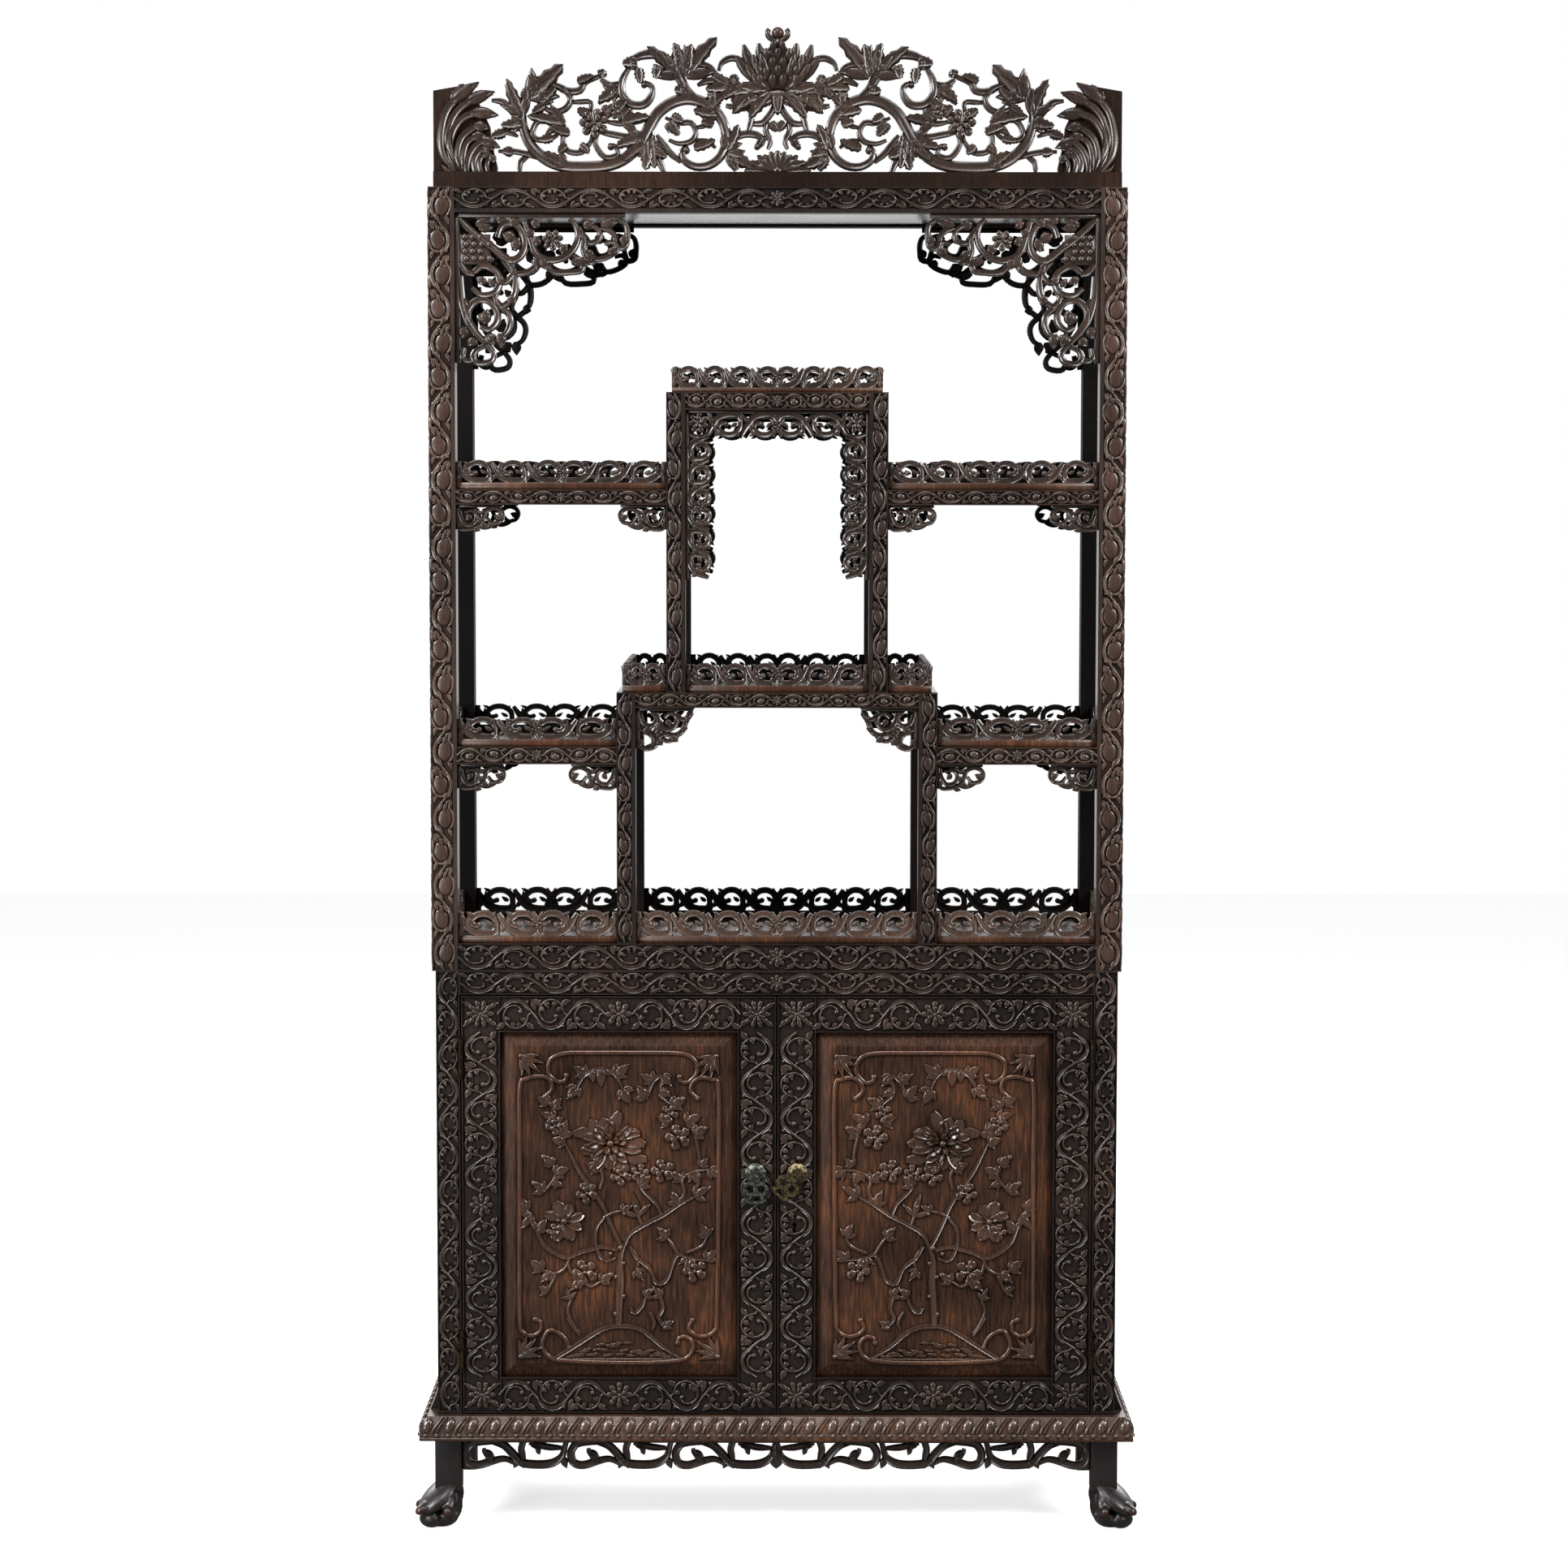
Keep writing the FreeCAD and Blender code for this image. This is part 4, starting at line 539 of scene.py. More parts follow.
    def strip(self, face, left, right, low, high, rise, depth, tone=1, edge=0.8):
        """A plain squared strip with eased edges."""
        outline = np.array([(left, low), (right, low), (right, high), (left, high)], float)
        middle = outline.mean(axis=0)
        size = (outline.max(axis=0) - outline.min(axis=0)) / 2
        rings = []
        for share, out in ((0, -depth), (0, rise - edge), (edge, rise)):
            ring = middle + (outline - middle) * (1 - share / np.maximum(size, 1.01 * edge))
            rings.append(np.column_stack([ring, np.full(4, out)]))
        local = np.vstack(rings)
        faces = [(3, 2, 1, 0), (8, 9, 10, 11)]
        for ring in (0, 4):
            faces += [(ring + i, ring + (i + 1) % 4, ring + 4 + (i + 1) % 4, ring + 4 + i) for i in range(4)]
        self.add(face, local, faces, tone)

    def board(self, face, outline, rise, depth, tone=0):
        """A sawn board with the outline drawn."""
        ring = np.array(outline, float)
        count = len(ring)
        local = np.vstack([np.column_stack([ring, np.full(count, out)]) for out in (-depth, rise)])
        faces = [tuple(reversed(range(count))), tuple(range(count, 2 * count))]
        faces += [(i, (i + 1) % count, count + (i + 1) % count, count + i) for i in range(count)]
        self.add(face, local, faces, tone)

    def finish(self, name, body, slot, finishes, replaced=()):
        """Make the gathered work one piece, lay its finishes on it and let it ride on its body."""
        mesh = bpy.data.meshes.new(name)
        mesh.from_pydata(np.vstack(self.points).tolist(), [], self.faces)
        for finish in finishes:
            mesh.materials.append(FINISHES[finish])
        mesh.polygons.foreach_set("material_index", self.tones)
        piece = bpy.data.objects.new(name, mesh)
        bpy.context.collection.objects.link(piece)
        deselect()
        bpy.context.view_layer.objects.active = piece
        piece.select_set(True)
        bpy.ops.object.mode_set(mode="EDIT")
        bpy.ops.mesh.select_all(action="SELECT")
        bpy.ops.mesh.normals_make_consistent(inside=False)
        bpy.ops.object.mode_set(mode="OBJECT")
        bpy.ops.object.shade_smooth_by_angle(angle=math.radians(66))
        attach(piece, body)
        if replaced:
            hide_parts(*replaced)


# Running ornament


def spiral(middle, radius, start, sweep, shrink, count, squash, late=1.0):
    """Points of a scroll: start and sweep in degrees, shrink is how much smaller it ends, and late makes
    it tighten only towards its end."""
    points = []
    for index in range(count + 1):
        share = index / count
        angle = math.radians(start + sweep * share)
        reach = radius * (1 - shrink * share ** late)
        points.append((middle[0] + reach * math.cos(angle), middle[1] + squash * reach * math.sin(angle)))
    return points


def vine(carving, face, length, width, wave, rise, first=1, fill="leaves"):
    """A running vine along a band: a waving stem and in each bay a ring with small leaves or a smooth boss
    in it, or a bulb that takes the whole bay, and leaves and berries between."""
    bays = max(2, round(length / wave))
    pitch = length / bays
    reach = 0.41 * width
    stem = []
    for index in range(4 * bays + 1):
        turn = math.sin(math.pi * index / 4)
        stem.append((index * pitch / 4, first * reach * math.copysign(abs(turn) ** 0.8, turn)))
    thick = min(0.06 * width + 0.85, 2.7)
    carving.stem(face, stem, 0.8 * thick, rise, tips=(1, 1), steps=3)
    ring = min(0.36 * pitch, 0.62 * width)
    squash = 0.4 * width / ring
    for bay in range(bays):
        side = first * (1 if bay % 2 == 0 else -1)
        carving.stem(face, stem[4 * bay:4 * bay + 5], 1.3 * thick, rise * 1.12, tips=(0.3, 0.3), steps=4)
        middle = np.array([(bay + 0.5) * pitch, -0.04 * side * width])
        if fill == "bulb":
            heart = middle - (0.0, 0.07 * side * width)
            round_off = 0.4 * width / (0.33 * pitch)
            carving.berry(face, heart, 0.33 * pitch, 0.85 * rise, 0.6, round_off, -14 * side, tone=1,
                          blank="boss")
            cradle = spiral(heart, 0.36 * pitch, 215, side * 135, 0.06, 8, round_off)
            carving.stem(face, cradle, 0.85 * thick, 1.05 * rise, tips=(0.9, 0.4), steps=2)
            for lean, way, aside in ((-1, 0.26, 0.3), (1, 0.22, 0.3), (1, 0.26, 0.06)):
                root = heart + (lean * 0.22 * pitch, side * aside * width)
                carving.leaf(face, root, root + (lean * way * pitch, -side * 0.2 * width), 0.1 * width,
                             1.2 * rise, bend=-lean * side * 35, lift=0.4 * rise)
        else:
            curl = spiral(middle, ring, 180, side * 325, 0.42, 12, squash, 2.5)
            carving.stem(face, [(bay * pitch + 0.02 * pitch, 0.12 * side * reach)] + curl, 0.75 * thick,
                         0.95 * rise, tips=(0.8, 0.8), steps=2)
            end = np.array(curl[-1])
            carving.berry(face, end + (middle - end) * 0.2, 0.085 * width, 1.15 * rise)
        if fill == "boss":
            carving.berry(face, middle - (0.02 * ring, 0.05 * side * width), 0.58 * ring, 1.0 * rise, 0.6,
                          1.15 * squash, -14 * side, blank="boss")
        if fill == "leaves":
            for angle in (196, 243, 291, 338):
                way = heading(math.radians(angle + carving.chance.uniform(-9, 9)), side * squash) * ring
                carving.leaf(face, middle + way * 0.92, middle + way * carving.chance.uniform(0.42, 0.52),
                             0.085 * width, 1.15 * rise, bend=side * carving.chance.uniform(-10, 45),
                             lift=0.4 * rise)
        outer = np.array([(bay + 0.5) * pitch, -side * 0.43 * width])
        for lean in (-1, 1):
            root = outer + (lean * 0.3 * pitch, side * 0.16 * width)
            tip = (bay * pitch + 0.5 * pitch + lean * 0.56 * pitch, -side * 0.44 * width)
            carving.leaf(face, root, tip, 0.1 * width, 1.05 * rise, bend=lean * side * 25)
        if bay:
            carving.leaf(face, (bay * pitch - 0.06 * pitch, side * 0.12 * width),
                         (bay * pitch + 0.05 * pitch, side * 0.46 * width), 0.09 * width, rise)
            carving.berry(face, (bay * pitch + 0.17 * pitch, side * 0.36 * width), 0.07 * width, rise)
            carving.berry(face, (bay * pitch - 0.2 * pitch, side * 0.4 * width), 0.055 * width, rise)


def doubled_vine(carving, face, length, width, wave, rise, flower=True, fill="leaves"):
    """A vine mirrored about the middle of its band, with a flower there."""
    gap = 0.42 * width if flower else 0.0
    half = length / 2 - gap
    vine(carving, face.shifted(gap), half, width, wave, rise, 1, fill)
    vine(carving, face.mirrored().shifted(gap), half, width, wave, rise, 1, fill)
    if flower:
        carving.flower(face, np.array([0.0, 0.0]), 0.4 * width, 1.1 * rise)


# Leaves of one scroll, in hundredths of its length and height: root, tip, half width as a share of the
# height, rise and depth as shares of the thickness, and bend
SCROLL_LEAVES = [(74, 40, 76, 86, 0.11, 1.0, 0.9, -20), (82, 40, 97, 16, 0.11, 1.0, 0.9, 20),
                 (14, 44, 32, 62, 0.09, 0.9, 0.8, 30), (60, 82, 80, 98, 0.07, 0.9, 0.8, 0),
                 (16, 80, 7, 98, 0.06, 0.9, 0.8, 0)]


def scroll_board(carving, face, length, height, pitch, thick, ends=True, strip=0.0):
    """A pierced board: scrolls that lean towards a flower in its middle, with holes between them."""
    half = length / 2
    if strip:
        carving.strip(face, -half, half, -strip, 0.6, thick, thick)
    bays = max(1, round(half / pitch))
    step = half / bays
    ribbon = 0.122 * height + 0.8
    for side in (face, face.mirrored()):
        for bay in range(bays):
            base = side.shifted(bay * step)
            x = step / 100
            y = height / 100
            tall = carving.chance.uniform(-1.5, 1.5)
            wave = [(2 * x, 34 * y), (12 * x, 12 * y), (38 * x, 8 * y), (66 * x, 22 * y), (86 * x, 58 * y),
                    (99 * x, 93 * y)]
            carving.stem(base, wave, ribbon * 1.15, thick * 0.98, thick * 0.98, (0.7, 0.55), 3, both=True)
            arch = [(3 * x, 28 * y), (6 * x, 66 * y), (26 * x, (90 + tall) * y), (52 * x, (88 + tall) * y),
                    (68 * x, 64 * y), (60 * x, 42 * y), (48 * x, 44 * y)]
            carving.stem(base, arch, ribbon * 0.92, thick * 0.9, thick * 0.9, (0.9, 0.75), 3, both=True)
            carving.berry(base, (46 * x, 45 * y), 0.12 * height, thick * 0.95, thick * 0.9)
            for x0, y0, x1, y1, half_share, rise, depth, bend in SCROLL_LEAVES:
                carving.leaf(base, (x0 * x, y0 * y), (x1 * x, y1 * y), half_share * height, rise * thick,
                             depth * thick, bend=bend)
            carving.stem(base, [(6 * x, 2 * y), (1 * x, 14 * y), (4 * x, 30 * y)], ribbon * 0.8, thick * 0.8,
                         thick * 0.8, (1, 0.8), 2, both=True)
        if ends:
            tail = side.shifted(half)
            carving.strip(tail, -7, 0, 0, 0.98 * height, 0.75 * thick, thick, tone=0)
            for index, tip in enumerate((96, 70, 44)):
                root = (-3, (tip - 44) * height / 100)
                carving.leaf(tail, root, (-4 - 5 * (index % 2), tip * height / 100), 0.1 * height,
                             thick * 1.15, 0, bend=18)
    carving.flower(face, np.array([0.0, 0.56 * height]), 0.26 * height, thick * 1.0, 6, 30, thick)
    for lean in (-1, 1):
        carving.leaf(face, (lean * 0.05 * height, 0.6 * height), (lean * 0.2 * height, 1.0 * height),
                     0.09 * height, thick, thick * 0.9, bend=-20 * lean)
        carving.stem(face, [(0, 0.05 * height), (lean * 0.2 * height, 0.22 * height),
                            (lean * 0.12 * height, 0.45 * height)], ribbon * 0.8, thick * 0.8, thick * 0.8,
                     (1, 0.7), 3, both=True)


def front_of(name, inset=0.0):
    """The front face of a frame piece, from its lower left corner, and its width and height, in
    millimetres."""
    low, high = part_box(name)
    low = np.array(low) / MM
    high = np.array(high) / MM
    face = Face((low[0], low[1] + inset, low[2]), RIGHT, UP, FORWARD)
    return face, high[0] - low[0], high[2] - low[2]


# How deep the carved ground is sunk, and the plain edges beside it, in millimetres
GROUND = 3.0
THIN = 2.0
PLAIN = 6.0
# Half of the clear width between the corner posts, and of the lower box and the tower outside and inside
POST_INSIDE = 455.0
BOX_OUTSIDE = 228.0
BOX_INSIDE = 201.0
TOWER_OUTSIDE = 157.0
TOWER_INSIDE = 130.0
# Thickness of the small posts, and width of the vine on the sides of the rear posts
SMALL_POST = 27.0
REAR_FIELD = 29.0


def side_of(name, hand):
    """The outer side of a post, from the foot of its carving upwards, and the length of that."""
    low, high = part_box(name)
    x = low.x / MM + GROUND if hand < 0 else high.x / MM - GROUND
    y = (low.y / MM + THIN + high.y / MM - PLAIN) / 2
    return Face((x, y, low.z / MM + PLAIN), UP, AWAY, sideways(hand)), (high.z - low.z) / MM - 2 * PLAIN


class CABINET_OT_frame_carving(bpy.types.Operator):
    """Carve running vines on the posts, rails and shelf edges."""

    bl_idname = "cabinet.frame_carving"
    bl_label = "Carve posts, rails and shelf edges"

    def execute(self, context):
        cut = context.scene.cabinet_carving
        rise = cut.relief / MM
        post_wave = cut.post_wave / MM
        posts = Carving(3)
        for name, hand in (("left_front_post", -1), ("right_front_post", 1)):
            face, wide, tall = front_of(name, GROUND)
            centre = (wide - hand * (THIN - PLAIN)) / 2
            up_face = Face(face.origin + (centre, 0, THIN), UP, sideways(hand), FORWARD)
            vine(posts, up_face, tall - 2 * THIN, wide - THIN - PLAIN, post_wave, rise, 1, "bulb")
            side_face, run = side_of(name, hand)
            vine(posts, side_face, run, wide - THIN - PLAIN, post_wave, rise, -1, "bulb")
        posts.finish("corner_post_carving", "cabinet", "carved_wood", ["post_carving", "bulb_wood"])
        posts = Carving(4)
        for name, hand in (("left_rear_post", -1), ("right_rear_post", 1)):
            side_face, run = side_of(name, hand)
            vine(posts, side_face, run, REAR_FIELD, post_wave, rise, 1)
        posts.finish("rear_post_carving", "cabinet", "carved_wood", ["carved_wood"])
        small = Carving(5)
        for name in ("lower_box_posts", "tower_posts"):
            low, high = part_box(name)
            tall = (high.z - low.z) / MM - 2 * THIN
            middle = high.x / MM - (THIN + SMALL_POST - PLAIN) / 2
            for hand in (-1, 1):
                place = (hand * middle, low.y / MM + GROUND, low.z / MM + THIN)
                face = Face(place, UP, sideways(hand), FORWARD)
                vine(small, face, tall, SMALL_POST - THIN - PLAIN, 0.82 * post_wave, rise, 1, "bulb")
        small.finish("small_post_carving", "cabinet", "carved_wood", ["carved_wood", "post_wood"])
        rails = Carving(7)
        wave = cut.rail_wave / MM
        for name, foot in (("front_top_rail", PLAIN), ("front_bottom_rail", THIN), ("case_top_rail", THIN)):
            face, wide, tall = front_of(name, GROUND)
            field = tall - foot - THIN
            doubled_vine(rails, face.shifted(wide / 2, foot + field / 2), wide, field, wave, rise)
        rails.finish("rail_carving", "cabinet", "carved_wood", ["carved_wood"])
        case = Carving(9)
        for name, hand in (("case_left_post", -1), ("case_right_post", 1)):
            face, wide, tall = front_of(name, GROUND)
            up_face = Face(face.origin + (wide / 2, 0, PLAIN), UP, sideways(hand), FORWARD)
            vine(case, up_face, tall - PLAIN - THIN, wide - 2 * THIN, post_wave, rise, 1)
        case.finish("case_post_carving", "cabinet", "carved_wood", ["carved_wood"])
        edges = Carving(11)
        spans = [("middle_shelf", -BOX_INSIDE, BOX_INSIDE), ("tower_top", -TOWER_INSIDE, TOWER_INSIDE)]
        for name, inner in (("lower_side_shelves", BOX_OUTSIDE), ("upper_side_shelves", TOWER_OUTSIDE)):
            spans += [(name, inner, POST_INSIDE), (name, -POST_INSIDE, -inner)]
        for name, left, right in spans:
            low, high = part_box(name)
            field = (high.z - low.z) / MM - 2 * THIN
            place = ((left + right) / 2, low.y / MM + GROUND, low.z / MM + THIN + field / 2)
            doubled_vine(edges, Face(place, RIGHT, UP, FORWARD), right - left, field, cut.shelf_wave / MM,
                         rise, True, "boss")
        edges.finish("shelf_edge_carving", "cabinet", "carved_wood", ["edge_carving"])
        return {"FINISHED"}


# Doors


PANEL_LINES = [
    (3.3, [(-1, -175), (0, -141), (2, -111), (1, -80), (7, -58)]),
    (1.7, [(7, -60), (16, -41), (38, -27), (63, -14), (85, 1), (109, 14)]),
    (1.2, [(33, -29), (28, -15), (24, -1)]),
    (1.4, [(61, -15), (53, 3), (38, 18), (30, 28)]),
    (1.3, [(85, 1), (94, 20), (91, 37), (106, 48), (130, 52)]),
    (1.5, [(16, -59), (26, -76), (44, -91), (54, -113), (69, -107), (77, -84), (85, -71), (100, -76),
           (126, -79)]),
    (1.3, [(20, -65), (28, -80), (24, -95)]),
    (1.3, [(85, -71), (77, -58), (69, -47)]),
    (1.2, [(96, -69), (119, -59), (126, -45)]),
    (1.7, [(4, -60), (-5, -43), (-14, -23), (-24, 1), (-40, 25), (-57, 50), (-68, 72), (-78, 93)]),
    (1.2, [(-22, -18), (-9, -11), (4, -8)]),
    (1.2, [(-27, 24), (-23, 42), (-29, 55), (-34, 64)]),
    (1.4, [(-22, -18), (-32, -32), (-34, -52), (-28, -72), (-18, -80), (-5, -75)]),
    (1.8, [(-2, -65), (-23, -60), (-36, -63), (-57, -69), (-75, -76), (-93, -69), (-109, -56), (-118, -36),
           (-124, -15), (-132, -6)]),
    (1.2, [(-70, -75), (-79, -93), (-96, -100), (-110, -93)]),
    (1.3, [(-74, -76), (-69, -97), (-56, -108), (-40, -118), (-26, -110)]),
    (1.1, [(-91, -102), (-98, -115), (-103, -126)]),
    (1.5, [(-60, 171), (-48, 190), (-27, 198), (-5, 190), (6, 168)]),
    (1.5, [(39, 155), (50, 181), (63, 187), (59, 164), (77, 145)]),
    (1.2, [(109, 103), (114, 81), (117, 57)]),
    (1.2, [(-107, 20), (-95, 35), (-91, 46), (-95, 59)]),
    (1.2, [(-69, -137), (-74, -154), (-66, -173), (-56, -186)]),
    (1.2, [(-75, -163), (-66, -177), (-57, -190)]),
    (1.5, [(16, -148), (22, -156), (33, -146), (38, -132)]),
    (1.8, [(59, -132), (63, -149), (57, -163), (66, -176)]),
    (1.3, [(43, -154), (51, -170), (48, -181)]),
    (1.8, [(-95, -224), (-66, -206), (-40, -189), (-21, -179), (-1, -175), (21, -177), (40, -186), (63, -206),
           (93, -224)]),
]
PANEL_MOULD = [
    [(-75, 188), (-77, 181), (-86, 179), (-97, 186), (-101, 196), (-98, 211), (-78, 220), (-40, 221),
     (21, 221), (89, 220), (109, 210), (112, 195), (107, 185), (98, 178), (89, 180), (87, 186)],
    [(-106, 157), (-96, 168), (-98, 182), (-113, 187), (-132, 183), (-142, 168), (-142, 55), (-143, -76),
     (-143, -163), (-140, -183), (-126, -190), (-114, -183), (-113, -170), (-121, -166)],
    [(113, 155), (103, 165), (105, 177), (117, 185), (134, 182), (143, 168), (143, 55), (142, -76),
     (140, -163), (138, -181), (125, -190), (109, -188), (100, -178), (105, -167)],
    [(-72, -207), (-77, -195), (-88, -185), (-100, -182), (-108, -191), (-110, -207), (-97, -223),
     (-66, -227), (-1, -229), (63, -228), (95, -223), (106, -209), (104, -197), (95, -191), (86, -193),
     (84, -200)],
]
PANEL_BLOOMS = [(-46, 18, 12), (-49, -97, 14), (85, 99, 14), (109, -95, 13), (63, 50, 13), (72, 133, 10),
                (-91, 116, 11), (3, 44, 12), (30, 47, 10), (-92, -38, 9)]
PANEL_LEAVES = [
    (109, 14, 124, 24, 4), (85, 1, 78, 16, 4), (130, 52, 142, 44, 4), (106, 48, 112, 34, 4),
    (91, 37, 80, 46, 4), (28, -15, 22, 8, 3), (30, 28, 40, 40, 4), (69, -47, 60, -36, 4),
    (126, -45, 120, -32, 4), (126, -79, 136, -68, 4), (100, -76, 96, -92, 4), (24, -95, 32, -104, 3),
    (-34, 64, -24, 76, 4), (-29, 55, -42, 60, 4), (4, -8, 14, -2, 3), (-110, -93, -122, -84, 5),
    (-96, -100, -108, -108, 4), (-103, -126, -112, -120, 3), (-26, -110, -14, -102, 4),
    (-56, -108, -66, -118, 4), (-132, -6, -140, 6, 4), (-124, -15, -136, -28, 4), (-118, -36, -108, -24, 4),
    (6, 168, 14, 154, 5), (-5, 190, 8, 200, 5), (-27, 198, -26, 180, 5), (-48, 190, -60, 198, 4),
    (-60, 171, -70, 160, 5), (-40, 196, -38, 184, 4), (39, 155, 30, 168, 5), (50, 181, 38, 188, 4),
    (63, 187, 72, 178, 4), (77, 145, 90, 152, 5), (59, 164, 70, 160, 4), (109, 103, 122, 110, 5),
    (98, 120, 112, 128, 5), (72, 120, 60, 126, 4), (117, 57, 124, 66, 3), (-95, 59, -104, 68, 5),
    (-91, 46, -78, 52, 5), (-107, 20, -120, 30, 4), (-95, 35, -84, 30, 3), (-78, 93, -90, 96, 5),
    (-80, 100, -76, 116, 5), (-91, 125, -106, 132, 4), (-100, 148, -112, 154, 4), (-94, 142, -86, 152, 4),
    (38, -132, 46, -124, 3), (59, -132, 52, -122, 3), (66, -176, 74, -170, 3), (-69, -137, -74, -124, 2),
]


def carve_tree(carving, face, rise):
    """A flowering tree on its mound, inside a raised scrolled line."""
    for half, points in PANEL_LINES:
        carving.stem(face, points, half * 1.5 + 0.9, rise * 0.7 + 0.35 * half, tips=(0.9, 0.5))
    for points in PANEL_MOULD:
        carving.stem(face, points, 3.5, rise * 0.9, tips=(0.9, 0.9), steps=4, tone=1, plain=True)
        for x, y in (points[0], points[-1]):
            carving.berry(face, (x, y), 4.6, rise)
    carving.stem(face, [(-95, -224), (0, -224), (93, -224)], 1.8, rise * 0.6, tips=(1, 1))
    for index in range(30):
        x = -70 + index * 140 / 29
        top = -184 - 0.42 * abs(x)
        level = carving.chance.uniform(-220, top - 8)
        carving.leaf(face, (x - 7, level), (x + 9, level + carving.chance.uniform(-1, 4)), 2.4, rise * 0.7)
    for x, y, radius in PANEL_BLOOMS:
        turn = carving.chance.uniform(0, 70)
        carving.flower(face, np.array([x, y], float), radius * 1.35, rise * 1.1, 5, turn)
    for x0, y0, x1, y1, half in PANEL_LEAVES:
        way = np.array([x1 - x0, y1 - y0], float) * 1.5
        start = np.array([x0, y0], float)
        carving.leaf(face, start, start + way, half * 1.35 + 1.2, rise, bend=carving.chance.uniform(-35, 35))
        for lean in (-52, 52):
            aside = 0.72 * swung(way, lean + carving.chance.uniform(-8, 8))
            carving.leaf(face, start, start + aside, half + 1.0, rise * 0.88,
                         bend=carving.chance.uniform(-35, 35))
    for x, y, radius in ((-34, 66, 4), (40, 40, 4.5), (78, 17, 3.5), (80, 47, 4), (24, -2, 4), (60, -35, 4),
                         (-61, -119, 4), (-12, -101, 5), (-104, -108, 4), (66, -178, 4.5), (46, -124, 4),
                         (-70, 158, 5), (92, 154, 5), (124, 112, 4.5), (-108, 70, 5), (-122, 32, 5),
                         (-12, -70, 4), (8, -12, 3.6), (-5, -158, 4.5), (6, -132, 4), (-4, -104, 4.5),
                         (6, -84, 4), (2, -62, 5)):
        carving.berry(face, (x, y), radius, rise * 1.15)
    middle = np.array([-12.0, 90.0])
    peony = ((55, 11, 9.0, 0.8, 0.84), (42, 10, 8.5, 1.15, 0.84), (29, 8, 7.5, 1.5, 0.88),
             (17, 5, 5.5, 1.9, 0.9))
    for ring, (reach, count, half, lift, squash) in enumerate(peony):
        for index in range(count):
            angle = 2 * math.pi * (index + 0.5 * (ring % 2)) / count + carving.chance.uniform(-0.2, 0.2)
            way = heading(angle, squash)
            length = reach * carving.chance.uniform(0.78, 1.12)
            carving.leaf(face, middle + way * reach * 0.32, middle + way * length, half, rise * lift, 0.8,
                         bend=carving.chance.uniform(-80, 80), blank="cupped", lift=rise * 1.1)
    carving.berry(face, middle, 6.0, rise * 1.8)
    centre = np.array([-79.0, -23.0])
    for angle, reach, half in ((20, 30, 9), (70, 27, 9), (115, 31, 10), (160, 29, 9), (250, 31, 10),
                               (300, 29, 10), (340, 27, 9)):
        way = heading(math.radians(angle))
        carving.leaf(face, centre + way * 4, centre + way * reach, half, rise * 1.15, 0.8, bend=30,
                     blank="cupped", lift=rise * 0.5)
    carving.berry(face, centre, 5.0, rise * 1.5)
    for x, y, turn in ((-140, 216, -45), (140, 216, -135), (-142, -220, 45), (142, -220, 135)):
        for swing, reach in ((-44, 26), (-20, 31), (6, 33), (30, 30), (52, 24)):
            tip = (x, y) + 1.15 * reach * heading(math.radians(turn + swing))
            carving.leaf(face, (x, y), tip, 4.3, rise * 1.1, bend=swing / 2, lift=rise * 0.5)
        carving.berry(face, (x, y), 4.6, rise * 1.2)


# Half of the square field that the rosette takes at each end of a door stile
ROSETTE = 26.0


class CABINET_OT_door_carving(bpy.types.Operator):
    """Carve the frames and panels of both doors."""

    bl_idname = "cabinet.door_carving"
    bl_label = "Carve the doors"

    def execute(self, context):
        cut = context.scene.cabinet_carving
        rise = cut.relief / MM
        wave = cut.rail_wave / MM
        for side, hand in (("left", 1), ("right", -1)):
            frame_work = Carving(20 + hand)
            for piece in ("hinge_stile", "lock_stile"):
                face, wide, tall = front_of(f"{side}_door_{piece}", GROUND)
                across = sideways(-hand if piece == "hinge_stile" else hand)
                middle = face.origin + (wide / 2, 0, tall / 2)
                run = tall / 2 - 2 * ROSETTE
                half_wave = run / round(run / (1.05 * wave))
                gap = 19 if piece == "hinge_stile" else 0
                for upward in (UP, DOWN):
                    up_face = Face(middle, upward, across, FORWARD).shifted(gap)
                    first = 1 if gap or upward == UP else -1
                    vine(frame_work, up_face, run - gap, wide - 2 * THIN, half_wave, rise, first)
                    rosette = Face(middle, RIGHT, upward, FORWARD).shifted(0, tall / 2 - ROSETTE)
                    frame_work.flower(rosette, np.array([0.0, 0.0]), 20.0, rise * 1.15, 10)
                    for swing in (35, 145, 215, 325):
                        way = heading(math.radians(swing))
                        frame_work.leaf(rosette, way * 16, way * 31, 3.8, rise, bend=20)
                if piece == "hinge_stile":
                    centre_face = Face(middle, RIGHT, UP, FORWARD)
                    frame_work.flower(centre_face, np.array([0.0, 0.0]), 17.0, rise * 1.05, 8)
            for piece in ("top_rail", "bottom_rail"):
                face, wide, tall = front_of(f"{side}_door_{piece}", GROUND)
                doubled_vine(frame_work, face.shifted(wide / 2, tall / 2), wide + 6, tall - 2 * THIN,
                             1.06 * wave, rise)
            body = f"{side}_door"
            frame_work.finish(f"{side}_door_frame_carving", body, "carved_wood", ["carved_wood"])
            panel_work = Carving(30)
            face, wide, tall = front_of(f"{side}_door_panel")
            panel = Face(face.origin + (wide / 2, 0, tall / 2), sideways(hand), UP, FORWARD)
            carve_tree(panel_work, panel, cut.panel_relief / MM)
            panel_work.finish(f"{side}_door_tree", body, "polished_wood", ["relief_wood", "mould_wood"])
        return {"FINISHED"}


# Pierced work


